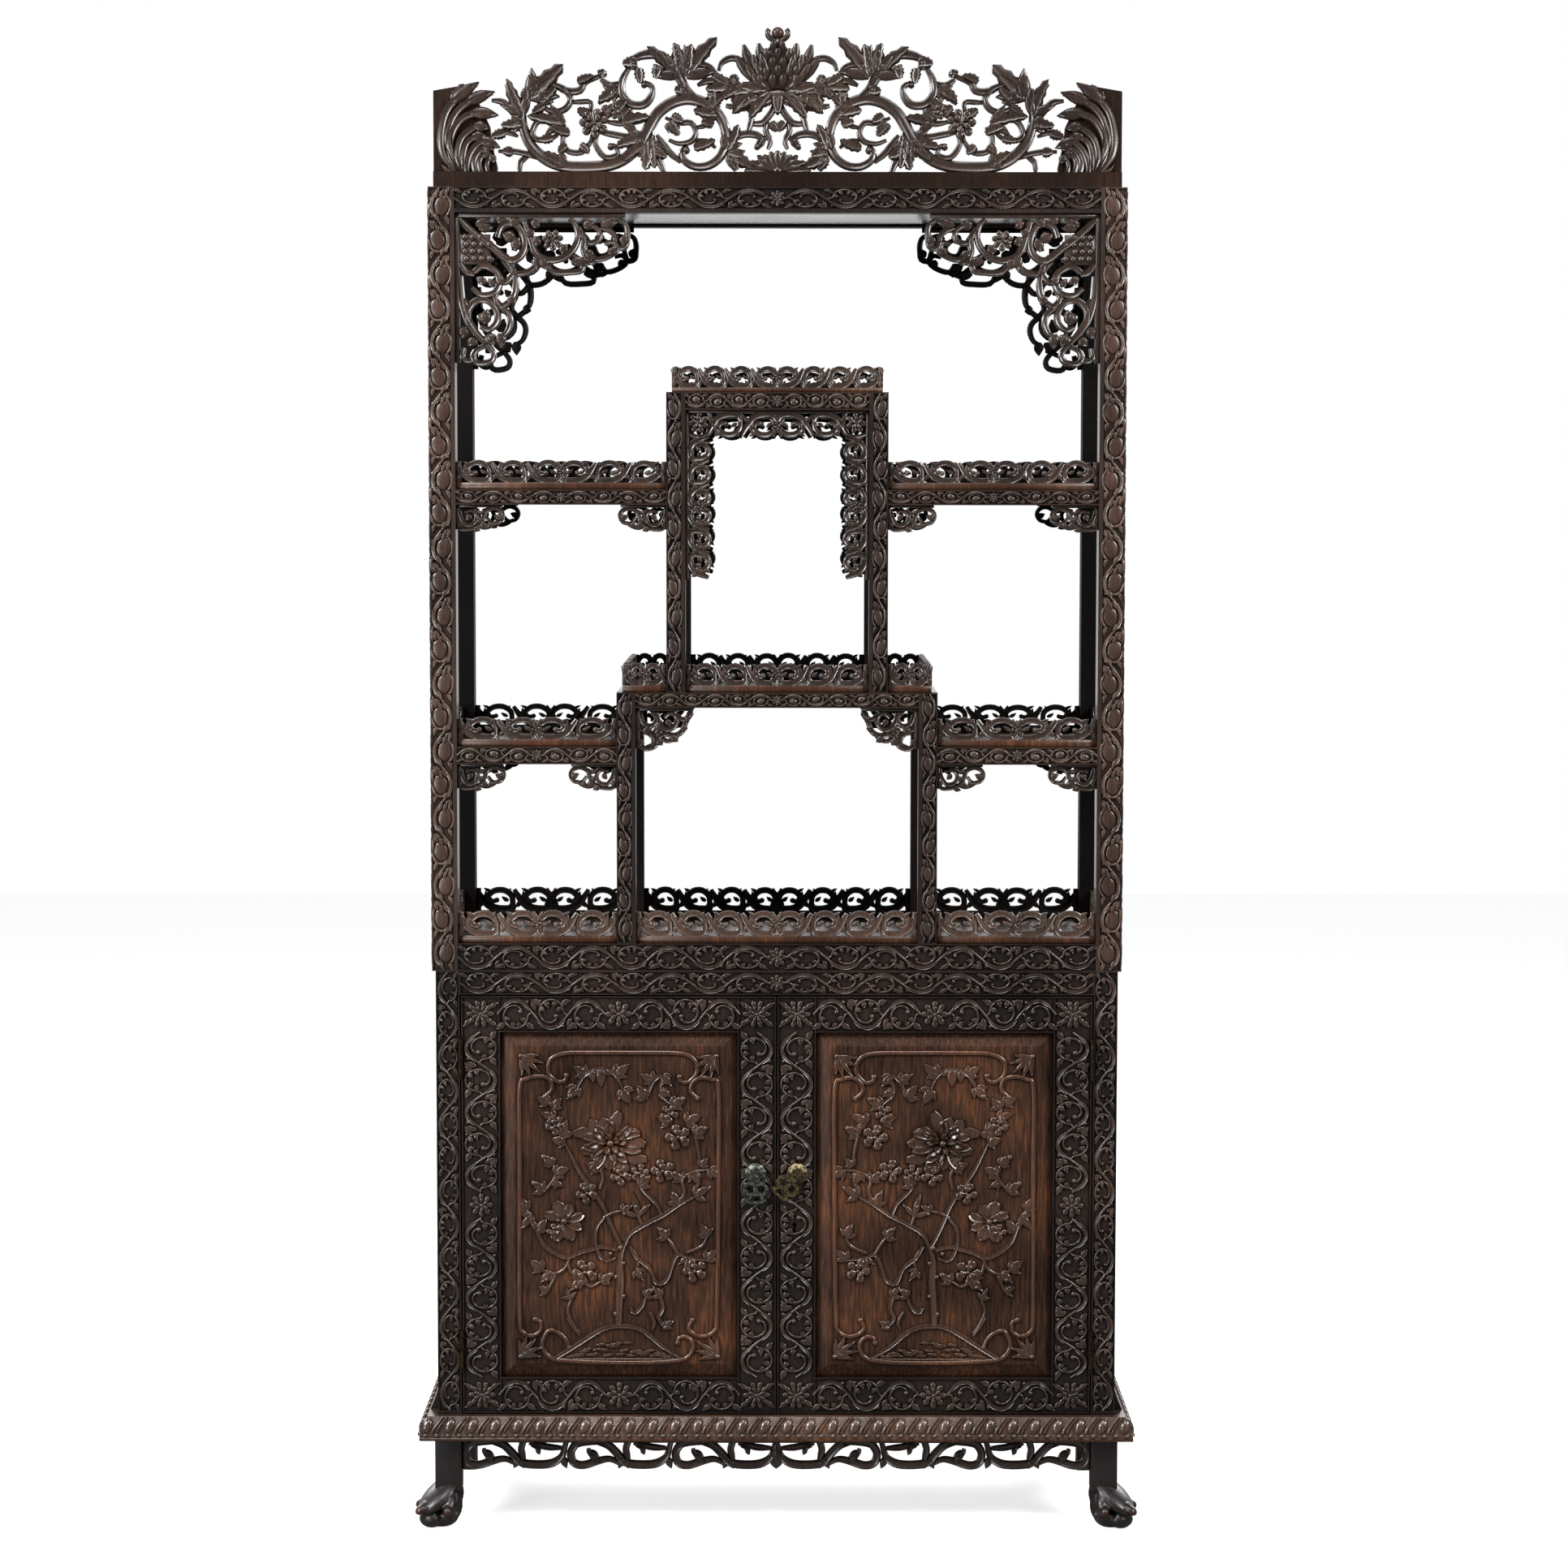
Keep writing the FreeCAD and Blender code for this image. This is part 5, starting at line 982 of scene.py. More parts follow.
CREST_LINES = [
    (3.4, [(-311, 140), (-334, 127), (-351, 106), (-360, 81), (-355, 53), (-344, 33), (-323, 16), (-299, 8),
           (-268, 7), (-236, 10), (-212, 21), (-193, 41), (-179, 66), (-167, 84), (-146, 98), (-122, 102),
           (-97, 93), (-79, 74), (-72, 48), (-79, 24), (-96, 10), (-116, 8), (-132, 17), (-134, 29),
           (-125, 34)]),
    (3.0, [(-214, 151), (-193, 162), (-170, 164), (-151, 152), (-139, 133), (-127, 114), (-108, 98)]),
    (2.6, [(-207, 148), (-218, 129), (-219, 109), (-207, 95), (-189, 94), (-178, 105), (-177, 119),
           (-188, 125)]),
    (2.0, [(-127, 131), (-118, 146), (-104, 150), (-91, 143), (-90, 131)]),
    (2.2, [(-83, 141), (-79, 152), (-66, 159), (-51, 155), (-40, 140), (-35, 124)]),
    (2.2, [(-113, 121), (-99, 127), (-83, 126), (-69, 117)]),
    (2.2, [(-322, 124), (-302, 117), (-291, 102), (-299, 88), (-316, 84), (-334, 93)]),
    (2.0, [(-304, 73), (-323, 77), (-339, 69), (-345, 53), (-336, 45), (-316, 48), (-304, 59)]),
    (2.0, [(-299, 66), (-302, 41), (-294, 29), (-276, 28), (-264, 41), (-261, 52)]),
    (2.0, [(-253, 55), (-256, 38), (-243, 21), (-226, 24), (-228, 36), (-237, 38)]),
    (2.2, [(-254, 57), (-233, 53), (-209, 49), (-186, 50)]),
    (2.0, [(-243, 71), (-223, 68), (-202, 70), (-174, 77)]),
    (1.8, [(-264, 79), (-263, 97), (-278, 98), (-294, 97)]),
    (2.4, [(-316, 122), (-296, 113), (-278, 114), (-271, 126), (-249, 134)]),
    (2.2, [(-249, 129), (-235, 121), (-218, 125)]),
    (2.0, [(-252, 95), (-238, 107), (-222, 114)]),
    (1.8, [(-207, 93), (-223, 88), (-240, 84), (-252, 79)]),
    (2.0, [(-158, 76), (-139, 69), (-122, 69), (-115, 55), (-122, 43), (-139, 40), (-153, 45)]),
    (1.8, [(-118, 62), (-101, 66), (-94, 79), (-108, 86)]),
    (1.8, [(-116, 45), (-99, 43), (-87, 34)]),
    (2.6, [(-179, 66), (-177, 38), (-167, 17), (-160, 0)]),
    (2.2, [(-170, 52), (-153, 29), (-136, 14)]),
    (2.4, [(-76, 24), (-66, 43), (-49, 53), (-29, 52), (-21, 43), (-29, 34)]),
    (2.4, [(-73, 93), (-52, 90), (-36, 95), (-31, 114)]),
    (2.2, [(-36, 95), (-37, 72), (-42, 55)]),
    (2.2, [(-402, 100), (-385, 97), (-372, 82), (-363, 69)]),
    (1.8, [(-400, 52), (-383, 56), (-365, 50)]),
    (2.0, [(-393, 29), (-372, 29), (-348, 24), (-327, 16)]),
    (2.0, [(-363, 0), (-362, 14), (-351, 22)]),
    (1.8, [(-313, 9), (-299, 14), (-306, 24)]),
    (2.4, [(0, 128), (-18, 126), (-31, 114), (-38, 98)]),
    (2.2, [(-1, 104), (-6, 88), (-16, 74), (-24, 68), (-42, 68)]),
    (2.0, [(-14, 74), (-17, 58), (-10, 44), (-14, 32)]),
    (2.0, [(-14, 50), (-24, 44), (-30, 34)]),
]
CREST_PLUME = [
    (5.0, [(-445, -9), (-460, 8), (-470, 24), (-473, 43), (-470, 68), (-462, 88), (-447, 104), (-423, 122)]),
    (5.0, [(-446, 2), (-460, 30), (-464, 48), (-460, 65), (-455, 77), (-443, 91), (-427, 100), (-401, 110)]),
    (5.0, [(-443, -7), (-456, 13), (-461, 35), (-457, 54), (-449, 68), (-438, 77), (-421, 81), (-396, 79)]),
    (4.6, [(-440, -3), (-448, 11), (-450, 26), (-445, 45), (-434, 56), (-421, 63), (-408, 60)]),
    (4.4, [(-438, -7), (-442, 11), (-441, 27), (-436, 41), (-425, 48), (-411, 50)]),
    (4.6, [(-432, -17), (-437, 2), (-434, 21), (-425, 35), (-413, 42), (-393, 35)]),
    (4.4, [(-416, -16), (-425, 0), (-427, 15), (-421, 27), (-410, 34), (-400, 32)]),
    (4.0, [(-409, -15), (-418, 2), (-419, 16), (-412, 24), (-402, 23)]),
    (3.4, [(-399, -15), (-408, 1), (-408, 13), (-402, 20), (-399, 13)]),
]
CREST_PLATE = [(-484, -20.5), (-396, -20.5), (-394, 6), (-402, 40), (-404, 62), (-414, 84), (-424, 104),
               (-441, 113), (-444, 120), (-484, 113)]
CREST_LEAVES = [
    (-348, 103, -311, 140, 7), (-358, 79, -376, 119, 4.5), (-360, 69, -383, 66, 4),
    (-355, 100, -355, 114, 3.5), (-334, 98, -316, 114, 4), (-327, 93, -341, 84, 3),
    (-299, 69, -341, 76, 4), (-316, 48, -332, 45, 3), (-198, 152, -214, 151, 4.5),
    (-195, 145, -193, 128, 3.5), (-167, 148, -170, 134, 4), (-136, 134, -174, 166, 5),
    (-136, 138, -144, 171, 5), (-130, 134, -123, 169, 5), (-129, 133, -94, 176, 6),
    (-141, 143, -156, 160, 4), (-129, 114, -142, 114, 4), (-226, 117, -247, 103, 4.5),
    (-282, 126, -264, 133, 3), (-229, 86, -216, 97, 4.5), (-233, 81, -243, 90, 4),
    (-226, 79, -212, 86, 4), (-219, 69, -188, 75, 4), (-188, 48, -219, 38, 4.5),
    (-186, 41, -210, 21, 4.5), (-182, 34, -186, 10, 5), (-176, 34, -160, 24, 4.5),
    (-179, 45, -174, 14, 4), (-153, 69, -142, 55, 4), (-149, 79, -136, 72, 3.5),
    (-83, 83, -111, 86, 4.5), (-90, 66, -104, 69, 3.5), (-118, 34, -94, 43, 3.5),
    (-92, 110, -90, 100, 4), (-94, 93, -80, 103, 4), (-66, 121, -94, 117, 5), (-52, 122, -73, 107, 5),
    (-45, 114, -59, 90, 6), (-38, 114, -35, 93, 5), (-59, 126, -66, 131, 4), (-73, 31, -59, 59, 4),
    (-69, 24, -42, 10, 5), (-66, 21, -59, 7, 4.5), (-69, 29, -52, 24, 4), (-90, 134, -73, 124, 3.5),
    (-383, 55, -398, 50, 3.5), (-372, 28, -384, 29, 3.5), (-299, 10, -322, 24, 4),
    (-292, 55, -313, 62, 3.5), (-278, 38, -268, 29, 3), (-264, 79, -278, 86, 3.5),
    (-296, 38, -306, 29, 3), (-452, 97, -443, 117, 5), (-249, 134, -245, 141, 3.5),
    (-10, 104, -22, 96, 4), (-20, 110, -34, 104, 4), (-10, 70, -2, 60, 3),
]
CREST_PETALS = [
    (0.50, [(-10, 116, -58, 161, 7.5, -40), (-8, 118, -48, 177, 7.5, -44), (-6, 122, -27, 179, 7.5, -26)]),
    (0.74, [(-10, 116, -44, 150, 6.5, -44), (-8, 118, -35, 163, 6.5, -40), (-5, 122, -17, 172, 6.5, -22)]),
    (0.98, [(-10, 114, -35, 137, 6.0, -48), (-9, 120, -30, 152, 6.0, -44), (-8, 128, -23, 164, 6.0, -30)]),
]
CREST_SCALES = [(5, 172, 5), (0, 162, 5.5), (12, 159, 5), (6, 149, 5.5), (18, 146, 5), (0, 138, 6),
                (13, 135, 5.5), (6, 125, 6), (20, 125, 5.5)]
CREST_DROOPS = [(-12, 117, -66, 108, 10, 34), (-14, 114, -64, 82, 10, 34), (-12, 112, -40, 76, 9.5, 16),
                (-22, 112, -52, 118, 7, 20), (-4, 106, -1, 82, 4.5, 0)]


def carve_crest_flower(carving, face, rise):
    """The peony that crowns the cresting: ranks of petals round a bud, on a spread of leaves."""
    carving.berry(face, (0, 106), 28, rise * 0.75, rise * 0.6, 0.46)
    carving.berry(face, (0, 146), 24, rise * 0.9, rise * 0.7, 1.45, blank="boss")
    for side in (face, face.mirrored()):
        for x0, z0, x1, z1, half, bend in CREST_DROOPS:
            carving.leaf(side, (x0, z0), (x1, z1), half * 1.25, rise * 0.95, rise * 0.7, bend=bend,
                         blank="acanthus")
        for share, petals in CREST_PETALS:
            for x0, z0, x1, z1, half, bend in petals:
                carving.leaf(side, (x0, z0), (x1, z1), half, rise * share, rise * 0.7, bend=bend,
                             blank="petal", lift=rise * 0.45)
        for x, z, half in CREST_SCALES:
            if x or side is face:
                high = rise * (1.3 - 0.015 * x)
                carving.leaf(side, (-0.8 * x, z - 9), (-1.3 * x, z + 9), half, high, 0, bend=-2.5 * x,
                             blank="petal", lift=rise * 1.1)
        horn = [(-3, 182), (-8, 185), (-13, 189), (-14.5, 195), (-12, 199)]
        carving.stem(side, horn, 4.0, rise * 0.6, rise * 0.6, (1, 0.8), 3, both=True, plain=True)
        carving.stem(side, [(-28, 101), (-24, 110), (-13, 117), (1, 119)], 3.2, rise * 0.9, rise * 0.7,
                     (0.8, 1), 3, both=True)
        carving.stem(side, [(-12, 104), (-6, 100), (-2, 90), (0, 80)], 3.0, rise * 0.7, rise * 0.6,
                     (1, 0.7), 3, both=True)
    carving.berry(face, (0, 178), 9.5, rise * 0.8, rise * 0.7, 1.2)
    carving.berry(face, (0, 194), 9.0, rise * 0.9, rise * 0.8, 0.95, tone=1, blank="boss")


class CABINET_OT_cresting(bpy.types.Operator):
    """Cut the pierced cresting, its end plumes and the flower in its middle."""

    bl_idname = "cabinet.cresting"
    bl_label = "Cresting"

    def execute(self, context):
        low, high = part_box("cresting")
        thick = (high.y - low.y) / MM / 2
        work = Carving(41)
        face = Face((0, (low.y + high.y) / MM / 2, low.z / MM), RIGHT, UP, FORWARD)
        for side in (face, face.mirrored()):
            for index, (half, points) in enumerate(CREST_LINES):
                rise = thick * (0.95 - 0.008 * index) if index else thick
                work.stem(side, points, half * 2.8 - 1.2, rise, rise * 0.9, (0.55, 0.6), 3, both=True)
            for x0, y0, x1, y1, half in CREST_LEAVES:
                tip = (x0 + 1.26 * (x1 - x0), y0 + 1.26 * (y1 - y0))
                work.leaf(side, (x0, y0), tip, half * 1.8 + 2.0, thick * 1.05, thick * 0.7,
                          bend=work.chance.uniform(-30, 30), blank="acanthus", lift=thick * 0.2)
                if half >= 4:
                    start = np.array([x0, y0], float)
                    for lean in (-42, 42):
                        lobe = start + 0.8 * swung((x1 - x0, y1 - y0), lean)
                        work.leaf(side, start, lobe, half * 1.3 + 1.3, thick * 0.95, thick * 0.7,
                                  bend=lean / 2)
            front = side.shifted(0, 0, 4.5)
            work.board(front, CREST_PLATE, 0.5, 12.5, tone=2)
            for index, (half, points) in enumerate(CREST_PLUME):
                work.stem(front, points, half * 1.3, 9.5 - 0.25 * index, 6.0, (0.5, 0.5), 3)
                (x0, z0), (x1, z1) = points[-2:]
                work.leaf(front, (x0 - 0.4 * (x1 - x0), z0 - 0.4 * (z1 - z0)),
                          (x1 + 0.15 * (x1 - x0), z1 + 0.15 * (z1 - z0)), half * 1.8, 9.0 - 0.25 * index, 6.0,
                          bend=-12)
            work.leaf(front, (-442, -12), (-474, 12), 5, 7.5, 4, bend=-35)
            for x, y, radius in ((-129, 31, 6), (-235, 36, 5.5), (-29, 36, 5), (-188, 122, 5), (-90, 131, 5),
                                 (-249, 137, 5.5)):
                work.berry(side, (x, y), radius, thick * 0.95, thick * 0.7)
            work.flower(side, np.array([-258.0, 68.0]), 21, thick * 1.0, 7, 20, thick * 0.7)
            work.flower(side, np.array([-228.0, 86.0]), 12, thick * 0.9, 6, 20, thick * 0.7)
        carve_crest_flower(work, face.shifted(0, 0, 2), thick * 1.05)
        for swing in range(-80, 81, 20):
            angle = math.radians(90 - swing)
            work.leaf(face, (0, 1), (31 * math.cos(angle), 3 + 27 * math.sin(angle)), 6, thick, thick * 0.6,
                      blank="petal", lift=2)
        for side in (face, face.mirrored()):
            for x0, z0, x1, z1, half in ((12, 2, 47, 2, 6.5), (12, 4, 40, 14, 6.5), (10, 6, 29, 23, 6)):
                work.leaf(side, (x0, z0), (x1, z1), half, thick * 1.1, thick * 0.6, bend=-24,
                          blank="acanthus", lift=2)
        work.berry(face, (0, 2), 9, thick * 1.2, thick * 0.6)
        work.finish("cresting_carving", "cabinet", "carved_wood", ["carved_wood", "strip_wood", "rail_wood"],
                    ["cresting"])
        return {"FINISHED"}


# Where the front and rear boards of the galleries stand, and the middle of those at the sides
GALLERY_FRONT = -147.0
GALLERY_REAR = 178.0
GALLERY_MIDDLE = 15.5


class CABINET_OT_galleries(bpy.types.Operator):
    """Cut the pierced galleries on the bottom board, the shelves and the tower."""

    bl_idname = "cabinet.galleries"
    bl_label = "Galleries"

    def execute(self, context):
        # Each gallery: middles and lengths of its front boards, place and length of its side boards, the
        # length of one scroll, the plain strip at its foot, and its wood
        plans = {
            "floor_gallery": ([(0, 402), (-341.5, 227), (341.5, 227)], 475.5, 279, 50, 9.5, "post_carving"),
            "lower_shelf_gallery": ([(-341.5, 227), (341.5, 227)], 475.5, 279, 50, 9.5, "carved_wood"),
            "upper_shelf_gallery": ([(-306, 298), (306, 298)], 475.5, 279, 46, 9.5, "carved_wood"),
            "middle_gallery": ([(0, 260), (-188.5, 62), (188.5, 62)], 215.5, 317, 43, 9.5, "carved_wood"),
            "tower_gallery": ([(0, 298)], 144.5, 316, 40, 6.0, "carved_wood"),
        }
        for name, (spans, side_x, side_length, pitch, strip, wood) in plans.items():
            boards = [(x, y, RIGHT, FORWARD, length) for x, length in spans
                      for y in (GALLERY_FRONT, GALLERY_REAR)]
            boards += [(hand * side_x, GALLERY_MIDDLE, AWAY, sideways(hand), side_length) for hand in (1, -1)]
            low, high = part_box(name)
            tall = (high.z - low.z) / MM - strip
            work = Carving(51)
            for x, y, along, out, length in boards:
                # Rear boards take the black wood of painted shade
                work.shade = 2 if y == GALLERY_REAR else 0
                face = Face((x, y, low.z / MM + strip), along, UP, out)
                scroll_board(work, face, length, tall, pitch, 4.5, strip=strip)
            work.finish(name + "_scrolls", "cabinet", "carved_wood", [wood, "strip_wood", "shade_wood"],
                        [name])
        return {"FINISHED"}


CORNER_LINES = [
    (3.0, [(6, -8), (30, -31), (54, -49), (76, -66), (92, -61), (99, -44), (94, -24), (81, -14), (66, -20),
           (61, -34)]),
    (2.6, [(99, -12), (105, -32), (114, -56), (132, -66), (152, -63), (167, -51), (174, -34), (170, -17),
           (162, -8)]),
    (2.0, [(79, -66), (83, -83), (98, -84), (111, -77), (114, -62)]),
    (2.0, [(128, -67), (138, -82), (162, -83), (179, -80), (177, -67), (165, -57)]),
    (2.2, [(175, -20), (183, -37), (182, -54), (190, -69), (199, -66)]),
    (1.8, [(177, -25), (187, -41), (201, -39), (205, -28), (196, -19), (185, -17)]),
    (1.8, [(191, -54), (199, -65), (216, -61), (229, -51), (223, -41), (211, -43)]),
    (2.0, [(225, -32), (230, -48), (241, -46), (243, -34), (243, -24), (240, -15), (232, -10)]),
    (1.8, [(206, -20), (219, -25), (228, -34)]),
    (3.0, [(7, -88), (9, -121), (16, -147), (30, -169), (46, -185)]),
    (2.6, [(18, -155), (18, -137), (30, -123), (47, -123), (59, -137), (59, -153), (47, -164), (36, -159)]),
    (2.4, [(69, -66), (84, -86), (85, -110), (78, -123)]),
    (2.0, [(62, -105), (57, -118), (62, -130), (74, -140), (78, -152), (73, -167), (62, -174)]),
    (2.4, [(27, -83), (40, -74), (59, -83), (63, -101), (54, -113), (37, -115), (24, -105)]),
    (2.0, [(46, -185), (54, -197), (50, -208), (32, -211), (25, -203), (30, -192), (46, -185)]),
    (2.0, [(12, -189), (10, -202), (18, -207), (27, -205)]),
    (2.2, [(8, -70), (16, -82), (27, -86)]),
    (2.0, [(78, -123), (66, -131), (58, -122)]),
    (2.0, [(84, -84), (74, -96), (64, -98)]),
    (2.0, [(8, -118), (16, -128), (20, -138)]),
]
CORNER_LEAVES = [
    (118, -61, 113, -81, 4), (123, -64, 130, -80, 4), (81, -86, 85, -78, 3), (165, -67, 191, -72, 4),
    (185, -54, 196, -64, 4), (216, -54, 229, -54, 3.5), (236, -44, 242, -30, 3.5),
    (74, -121, 86, -123, 4), (64, -169, 64, -189, 4), (54, -179, 47, -169, 4), (44, -172, 54, -185, 5),
    (40, -155, 46, -135, 5), (34, -142, 44, -152, 4), (84, -37, 67, -29, 5), (83, -51, 91, -34, 4.5),
    (206, -17, 229, -12, 4), (182, -20, 196, -12, 4), (111, -20, 118, -10, 4), (30, -17, 51, -8, 4),
    (34, -22, 54, -20, 4), (78, -17, 91, -8, 3.5), (60, -92, 70, -98, 4), (40, -90, 34, -100, 5),
    (48, -100, 56, -94, 4), (150, -56, 158, -44, 4), (118, -34, 112, -46, 4), (14, -160, 9, -176, 4),
    (28, -176, 18, -186, 4), (100, -30, 112, -24, 4), (60, -12, 70, -8, 3.5),
]
BRACKET_LINES = [
    (2.4, [(2, -30), (8, -35), (22, -34), (33, -29), (38, -20), (42, -10), (52, -5), (62, -8), (66, -16),
           (61, -25), (50, -26), (43, -18)]),
    (2.3, [(4, -8), (7, -20), (14, -29), (25, -27), (29, -17), (23, -9), (12, -11)]),
    (2.0, [(26, -6), (34, -12), (42, -8)]),
    (2.0, [(30, -30), (40, -33), (50, -30), (58, -24)]),
]
BRACKET_LEAVES = [(34, -26, 44, -33, 3.5), (20, -14, 14, -22, 3), (65, -20, 54, -15, 3.5),
                  (30, -20, 38, -24, 3), (24, -33, 34, -37, 3), (44, -28, 52, -31, 3), (5, -24, 3, -34, 3)]
BOX_BRACKET_LINES = [
    (2.6, [(4, -52), (14, -59), (27, -55), (31, -44), (40, -38), (55, -40), (66, -34), (72, -20), (80, -8)]),
    (2.4, [(5, -30), (14, -34), (24, -42), (25, -52), (15, -57)]),
    (2.4, [(30, -8), (33, -22), (44, -32), (56, -26), (58, -14), (49, -8), (41, -15)]),
    (2.3, [(6, -10), (12, -24), (24, -26), (30, -15), (22, -7)]),
    (2.0, [(58, -10), (66, -17), (74, -14), (80, -5)]),
    (2.0, [(34, -40), (44, -48), (56, -44), (62, -36)]),
    (2.0, [(26, -30), (32, -37), (38, -30)]),
]
BOX_BRACKET_LEAVES = [(30, -46, 38, -54, 4), (50, -42, 60, -49, 3.5), (20, -28, 10, -40, 4),
                      (64, -30, 74, -30, 3.5), (44, -18, 50, -26, 3), (8, -46, 5, -56, 3.5),
                      (36, -26, 28, -34, 3.5), (70, -18, 78, -16, 3)]


def carve_bracket(work, face, lines, leaves, size, strip, thick, stout=2.1, blooms=()):
    """A pierced corner bracket: plain strips against the frame, scrolls and leaves in the corner."""
    wide, drop = size
    work.strip(face, 0, wide - 3, -strip, 0, 0.8 * thick, thick, tone=0, edge=0.6)
    work.strip(face, 0, strip, 3 - drop, -strip + 0.4, 0.8 * thick, thick, tone=0, edge=0.6)
    for index, (half, points) in enumerate(lines):
        rise = thick * (1.0 - 0.012 * index)
        work.stem(face, points, half * 1.15 + stout, rise, rise, (0.85, 0.75), 3, both=True)
    for x0, y0, x1, y1, half in leaves:
        work.leaf(face, (x0, y0), (x1, y1), half * 1.1 + 1.5 * stout, thick * 1.1, thick * 0.9,
                  bend=work.chance.uniform(-25, 25))
    for x, y, radius in blooms:
        work.flower(face, np.array([x, y], float), radius, thick, 7, 15, thick * 0.8)


# Where the front and rear brackets and friezes stand
BRACKET_LEVELS = (-147.5, 178.5)


class CABINET_OT_brackets(bpy.types.Operator):
    """Cut the pierced brackets in the corners, under the shelves and inside the tower."""

    bl_idname = "cabinet.brackets"
    bl_label = "Brackets and tower frieze"

    def execute(self, context):
        low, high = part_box("corner_brackets")
        corners = Carving(61)
        for y in BRACKET_LEVELS:
            # Rear brackets take the black wood of painted shade
            corners.shade = 1 if y > 0 else 0
            for x, along in ((low.x, RIGHT), (high.x, LEFT)):
                side = Face((x / MM, y, high.z / MM), along, UP, FORWARD)
                carve_bracket(corners, side, CORNER_LINES, CORNER_LEAVES, (243, 213), 6.5, 6.0,
                              blooms=[(138, -38, 15)])
                for row in range(4):
                    for column in range(3 + row % 2):
                        grape = (14 + column * 11 + 2 * (row % 2), -34 - row * 10)
                        corners.berry(side, grape, 5.6, 6.0, 5.0, 1.1)
                corners.strip(side, 6, 50, -72, -30, 2.5, 5.0, tone=0)
        corners.finish("corner_bracket_scrolls", "cabinet", "carved_wood", ["carved_wood", "shade_wood"],
                       ["corner_brackets"])
        small = Carving(63)
        narrow = (BRACKET_LINES, BRACKET_LEAVES, (68, 38), 4, 6.0, 0.5)
        broad = (BOX_BRACKET_LINES, BOX_BRACKET_LEAVES, (84, 62), 5, 6.0, 1.1)
        places = []
        for which, inner in (("lower_side_shelves", BOX_OUTSIDE), ("upper_side_shelves", TOWER_OUTSIDE)):
            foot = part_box(which)[0].z / MM
            for hand in (-1, 1):
                places.append((hand * inner, foot, hand, narrow))
                places.append((hand * POST_INSIDE, foot, -hand, narrow))
        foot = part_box("middle_shelf")[0].z / MM
        places += [(-BOX_INSIDE, foot, 1, broad), (BOX_INSIDE, foot, -1, broad)]
        for x, level, hand, pattern in places:
            for y in BRACKET_LEVELS:
                # Rear brackets take the black wood of painted shade
                small.shade = 1 if y > 0 else 0
                carve_bracket(small, Face((x, y, level), sideways(hand), UP, FORWARD), *pattern)
        small.finish("shelf_bracket_scrolls", "cabinet", "carved_wood", ["carved_wood", "shade_wood"],
                     ["shelf_brackets"])
        frieze = Carving(65)
        low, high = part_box("tower_frieze")
        half = high.x / MM
        top = high.z / MM
        drop = (high.z - low.z) / MM
        bar = (0, 4.5, 5.0, 6.0)
        for y in BRACKET_LEVELS:
            # The rear frieze takes the black wood of painted shade
            frieze.shade = 1 if y > 0 else 0
            band = Face((0, y, top), RIGHT, DOWN, FORWARD)
            frieze.strip(band, -half, half, *bar, tone=0)
            scroll_board(frieze, band.shifted(0, 4), 2 * (half - 30), 34, 40, 6.0, ends=False)
            for hand in (-1, 1):
                inward = sideways(-hand)
                side = Face((hand * half, y, top - drop / 2 - 14), UP, inward, FORWARD)
                frieze.strip(side, -drop / 2 + 14, drop / 2 + 14, *bar, tone=0)
                scroll_board(frieze, side.shifted(-3, 4), drop - 40, 31, 40, 6.0, ends=False)
                corner = Face((hand * half, y, top), inward, DOWN, FORWARD)
                frieze.flower(corner, np.array([18.0, 18.0]), 15, 6.0, 7, 20, 5.0)
                frieze.stem(corner, [(4, 34), (20, 38), (34, 32), (38, 20), (34, 4)], 3.2, 5.6, 5.6, (1, 1),
                            3, both=True)
        frieze.finish("tower_frieze_scrolls", "cabinet", "carved_wood", ["carved_wood", "shade_wood"],
                      ["tower_frieze"])
        return {"FINISHED"}


# Stand


APRON_LINES = [
    (3.1, [(56, -1), (20, -4), (9, -12), (6, -23), (11, -34), (25, -37), (46, -31), (64, -28), (80, -35)]),
    (2.4, [(46, -32), (41, -21), (34, -18), (32, -13)]),
    (3.3, [(44, -1), (62, -8), (74, -19), (86, -32), (103, -36), (131, -35), (148, -25), (153, -10),
           (156, -1)]),
    (2.6, [(92, -1), (88, -14), (92, -29)]),
    (2.4, [(104, -6), (112, -10), (113, -17)]),
    (2.4, [(100, -3), (124, -10), (148, -12)]),
]
APRON_LEAVES = [(84, -27, 77, -41, 4), (88, -30, 92, -41, 3.4), (150, -26, 156, -41, 4),
                (46, -30, 31, -19, 3), (112, -12, 116, -21, 3)]
APRON_UNIT = 156.0
APRON_DROP = 7.0
# The middle of the front legs and of the side aprons
LEG_X = 473.0
LEG_Y = -140.5
SIDE_APRON_X = 476.0
# From one large bead of the plinth to the next, about
BEAD_PITCH = 16.2


def carve_apron(work, face, length, units, thick):
    """A pierced apron: each unit has two scrolls and a hanging leaf, and it is mirrored at the middle."""
    share = length / (2 * units * APRON_UNIT)
    work.strip(face, -length / 2, length / 2, -10.5, 0, thick * 0.7, thick, tone=0)
    for side in (face, face.mirrored()):
        for unit in range(units):
            base = length / 2 - unit * APRON_UNIT * share
            for half, points in APRON_LINES:
                line = [(base - x * share, z - APRON_DROP) for x, z in points]
                work.stem(side, line, half * 1.5 + 1.2, thick, thick, (0.9, 0.6), 4, both=True)
            for x0, z0, x1, z1, half in APRON_LEAVES:
                work.leaf(side, (base - x0 * share, z0 - APRON_DROP), (base - x1 * share, z1 - APRON_DROP),
                          half * 1.3, thick * 0.95, thick * 0.8)
        work.strip(side, length / 2 - 9, length / 2, -49, 0, thick * 0.8, thick, tone=0)


